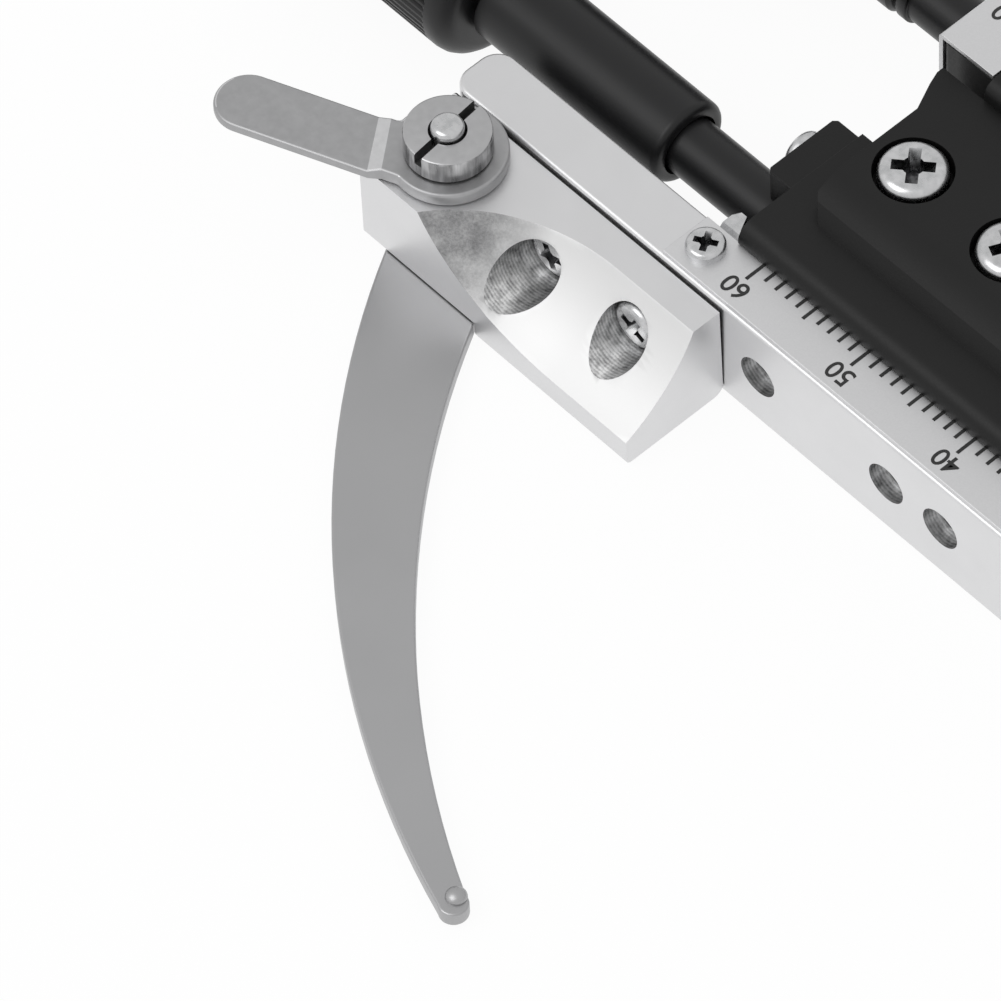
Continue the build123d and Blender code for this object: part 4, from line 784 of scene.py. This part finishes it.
TO_X = Matrix.Rotation(math.radians(90), 4, "Y")
SLEEVE_R, SLEEVE_BORE, SLEEVE_SHORT, LIP_R, NECK_R = 3.25, 2.35, 4.8, 0.6, 2.4
SLEEVE_ROOT, SLEEVE_CHAMFER, SLEEVE_EDGE = 1.5, 0.15, 0.03
KNOB_NEARER, KNOB_GAP = 0.7, 0.4
low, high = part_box("x_sleeve")
start, knob_near = low.x / MM + SLEEVE_SHORT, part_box("x_knob")[0].x / MM - KNOB_NEARER
lip = [(start + LIP_R * (1 - math.sin(turn)), SLEEVE_R - LIP_R * (1 - math.cos(turn)))
       for turn in (1.57, 1.2, 0.9, 0.6, 0.3, 0)]
end = knob_near - KNOB_GAP
sleeve = turned([(start + SLEEVE_ROOT, SLEEVE_BORE), (start, SLEEVE_BORE)] + lip
                + [(end - SLEEVE_CHAMFER, SLEEVE_R), (end, SLEEVE_R - SLEEVE_CHAMFER), (end, NECK_R),
                   (knob_near, NECK_R)])
sleeve.data.transform(TO_X)
settle(sleeve, Vector((0, (low.y + high.y) / 2, (low.z + high.z) / 2)))
break_edges(sleeve, SLEEVE_EDGE)
stand_in(sleeve, "x_sleeve", acetal)

KNOB_R, KNOB_SHOULDER, KNURL_IN, KNURL_RAMP, KNURL_DEEP, GROOVES = 5.7, 1.5, 2.1, 0.15, 0.3, 60
END_RECESS_R, END_RECESS = 3.6, 1.2


def knob(node):
    """One knob, knurled between smooth round shoulders, with a recess for the screw in its end."""
    low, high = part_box(node)
    near, far = low.x / MM - KNOB_NEARER, high.x / MM
    turns = (1.57, 1.25, 0.95, 0.65, 0.35, 0)
    corner = [(KNOB_SHOULDER * (1 - math.sin(turn)), KNOB_R - KNOB_SHOULDER * (1 - math.cos(turn)))
              for turn in turns]
    stations = [(near + inward, r) for inward, r in corner]
    stations += [(near + KNURL_IN - KNURL_RAMP, KNOB_R), (near + KNURL_IN, KNOB_R),
                 (far - KNURL_IN, KNOB_R), (far - KNURL_IN + KNURL_RAMP, KNOB_R)]
    stations += [(far - inward, r) for inward, r in reversed(corner)]
    stations += [(far, END_RECESS_R), (far - END_RECESS, END_RECESS_R)]
    shape = turned(stations, sides=3 * GROOVES)
    step = math.tau / (3 * GROOVES)
    bpy.ops.object.mode_set(mode="EDIT")
    bpy.ops.mesh.select_mode(type="VERT")
    bpy.ops.mesh.select_all(action="DESELECT")
    bpy.ops.object.mode_set(mode="OBJECT")
    for point in shape.data.vertices:
        in_band = near + KNURL_IN - NEAR < point.co.z < far - KNURL_IN + NEAR
        point.select = in_band and round(math.atan2(point.co.y, point.co.x) / step) % 3 == 0
    bpy.ops.object.mode_set(mode="EDIT")
    share = 1 - KNURL_DEEP / KNOB_R
    bpy.ops.transform.resize(value=(share, share, 1), center_override=(0, 0, 0))
    bpy.ops.object.mode_set(mode="OBJECT")
    shape.data.transform(TO_X)
    settle(shape, Vector((0, (low.y + high.y) / 2, (low.z + high.z) / 2)))
    bpy.ops.object.shade_smooth_by_angle(angle=math.radians(20))
    stand_in(shape, node, acetal)


knob("x_knob")
knob("y_knob")


# Rack rail, rack, shafts and pinions: machined steel, hidden but for the rail's end. The end
# bushes are sintered brass, pushed into the castings.
def sintered_brass():
    """Sintered brass: dull yellow, with pores that hold oil."""
    metal, shader, place = new_finish("sintered_brass")
    # Pores of 0.1 mm
    pores = add(metal, "TexNoise", {"Scale": 1 / (0.1 * MM)}, place)
    tint = add(metal, "ValToRGB", {}, {"Fac": pores.outputs["Fac"]})
    tint.color_ramp.elements[0].color = linear("#8A6F38")
    tint.color_ramp.elements[1].color = linear("#B8994F")
    shader.inputs["Roughness"].default_value = 0.42
    link(metal, shader, {"Base Color": tint.outputs["Color"]})
    return metal


dress(("x_end_bush", "y_end_bush"), sintered_brass())
dress(("x_rack_rail", "y_rack", "x_shaft", "y_shaft", "x_pinion", "y_pinion", "y_gib_strip"), steel)


# Cross-recessed pan-head screws on the carriage, the keeper and both scale plates: bright plated
# steel. Each head is domed, and the driver's recess narrows to a pit in the middle. The values are
# shares: the cross's reach of the head's radius, and its depths of the head's height.
WING_LONG, WING_WIDE, PIT_R = 0.74, 0.2, 0.32
WING_FLOORS, PIT_FLOOR, CROSS_TOP = (-0.1, -0.13), -0.16, 1.4
WING_TAPER = (0.35, 0.5, 1)


def pick(piece, wanted):
    """Selects the faces of a piece that a test on normal and centre wants, and enters edit mode."""
    bpy.ops.object.select_all(action="DESELECT")
    bpy.context.view_layer.objects.active = piece
    piece.select_set(True)
    bpy.ops.object.mode_set(mode="EDIT")
    bpy.ops.mesh.select_mode(type="FACE")
    bpy.ops.mesh.select_all(action="DESELECT")
    bpy.ops.object.mode_set(mode="OBJECT")
    for face in piece.data.polygons:
        face.select = wanted(face.normal, face.center)
    bpy.ops.object.mode_set(mode="EDIT")


def cross_screw(radius, height, depth):
    """One screw with its seat at the origin and its head up, at 1 m for 1 mm."""
    bpy.ops.object.select_all(action="DESELECT")
    bpy.ops.mesh.primitive_cylinder_add(vertices=64, radius=radius, depth=height,
                                        location=(0, 0, height / 2))
    screw = bpy.context.object
    bpy.ops.object.transform_apply(location=True)
    pick(screw, lambda normal, centre: normal.z > 0.9)
    bpy.ops.mesh.bevel(offset=height * 0.5, segments=8, clamp_overlap=False)
    bpy.ops.object.mode_set(mode="OBJECT")
    pick(screw, lambda normal, centre: normal.z < -0.9)
    bpy.ops.mesh.inset(thickness=radius * 0.5)
    bpy.ops.mesh.extrude_region_move(TRANSFORM_OT_translate={"value": (0, 0, -depth)})
    bpy.ops.object.mode_set(mode="OBJECT")
    for turn, wing_floor in zip((0, 90), WING_FLOORS):
        wing = box_tool((-WING_LONG * radius, -WING_WIDE * radius, wing_floor * height),
                        (WING_LONG * radius, WING_WIDE * radius, CROSS_TOP * height))
        pick(wing, lambda normal, centre: normal.z < -0.9)
        bpy.ops.transform.resize(value=WING_TAPER)
        bpy.ops.object.mode_set(mode="OBJECT")
        wing.data.transform(Matrix.Rotation(math.radians(turn), 4, "Z"))
        combine(screw, wing)
    combine(screw, round_tool(PIT_R * radius, (0, 0, PIT_FLOOR * height), (0, 0, CROSS_TOP * height), 24))
    return screw


FACING = {"Z": Matrix.Identity(4), "X": Matrix.Rotation(math.radians(90), 4, "Y"),
          "Y": Matrix.Rotation(math.radians(-90), 4, "X")}


def fit_screws(node, radius, height, depth, seats, turns, facing="Z"):
    """Copies of one screw on their seats, joined into a piece that replaces a node."""
    first = cross_screw(radius, height, depth)
    copies = []
    for seat, turn in zip(seats, turns):
        copy = first.copy()
        copy.data = first.data.copy()
        bpy.context.collection.objects.link(copy)
        copy.data.transform(FACING[facing] @ Matrix.Rotation(math.radians(turn), 4, "Z"))
        settle(copy, seat)
        copies.append(copy)
    bpy.data.objects.remove(first)
    bpy.ops.object.select_all(action="DESELECT")
    for copy in copies:
        copy.select_set(True)
    bpy.context.view_layer.objects.active = copies[0]
    if len(copies) > 1:
        bpy.ops.object.join()
    group = bpy.context.object
    bpy.ops.object.shade_smooth_by_angle(angle=math.radians(40))
    stand_in(group, node, steel)
    up = FACING[facing].col[2].to_3d()

    def recessed(normal, centre):
        """True for a face inside the cross."""
        out = min((centre - seat for seat in seats), key=lambda away: away.length) / MM
        across, steep = (out - out.dot(up) * up).length, normal.dot(up)
        return out.dot(up) > -0.2 * height and (across < 0.8 * radius and steep < 0.45
                                                or across < 0.5 * radius and out.dot(up) < 0.1 * height)

    refinish(group, cross_shade, recessed)


def fit_row(node, radius, height, turns, axis="X", higher=0.0):
    """A row of screws between the ends of a CAD node's row, with their heads up."""
    low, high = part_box(node)
    reach = (high.x - low.x if axis == "X" else high.y - low.y) - 2 * CAD_HEAD[node] * MM
    seats = []
    for k in range(len(turns)):
        seat = low + Vector((CAD_HEAD[node], CAD_HEAD[node], 0)) * MM
        seat.z = high.z + (higher - height) * MM
        seat[0 if axis == "X" else 1] += k / (len(turns) - 1) * reach
        seats.append(seat)
    fit_screws(node, radius, height, (high.z - low.z) / MM - height, seats, turns)


# The heads' radii in the CAD rows, which give the screws' axes
CAD_HEAD = {"cover_screws": 2.25, "x_scale_screws": 1.35, "y_scale_screws": 1.35}
COVER_HEAD_R, COVER_HEAD_H, COVER_RAISE = 2.45, 1.5, 0.7
SCALE_HEAD_R, SCALE_HEAD_H = 1.4, 0.75
cross_shade = plated_steel("plated_steel_in_the_recess", "#2E2E2F", "#88888A")
fit_row("cover_screws", COVER_HEAD_R, COVER_HEAD_H, (20, 65, 40), higher=COVER_RAISE)
fit_row("x_scale_screws", SCALE_HEAD_R, SCALE_HEAD_H, (75, 30))
fit_row("y_scale_screws", SCALE_HEAD_R, SCALE_HEAD_H, (15, 50), axis="Y")
JAW_HEAD_R, JAW_HEAD_H, JAW_SHANK = 1.85, 1.0, 6.0
jaw_seats = [jaw_corner + Vector((x, BORE_SEAT, z)) * MM for x, z in BORES]
fit_screws("jaw_block_screws", JAW_HEAD_R, JAW_HEAD_H, JAW_SHANK, jaw_seats, (20, 65), facing="Y")
KEEPER_HEAD_R, KEEPER_HEAD_H, KEEPER_SHANK, KEEPER_RAISE = 1.6, 1.2, 5.0, 1.3
low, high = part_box("keeper_screw")
seat = Vector((high.x - KEEPER_HEAD_H * MM, (low.y + high.y) / 2, (low.z + high.z) / 2 + KEEPER_RAISE * MM))
fit_screws("keeper_screw", KEEPER_HEAD_R, KEEPER_HEAD_H, KEEPER_SHANK, [seat], (35,), facing="X")
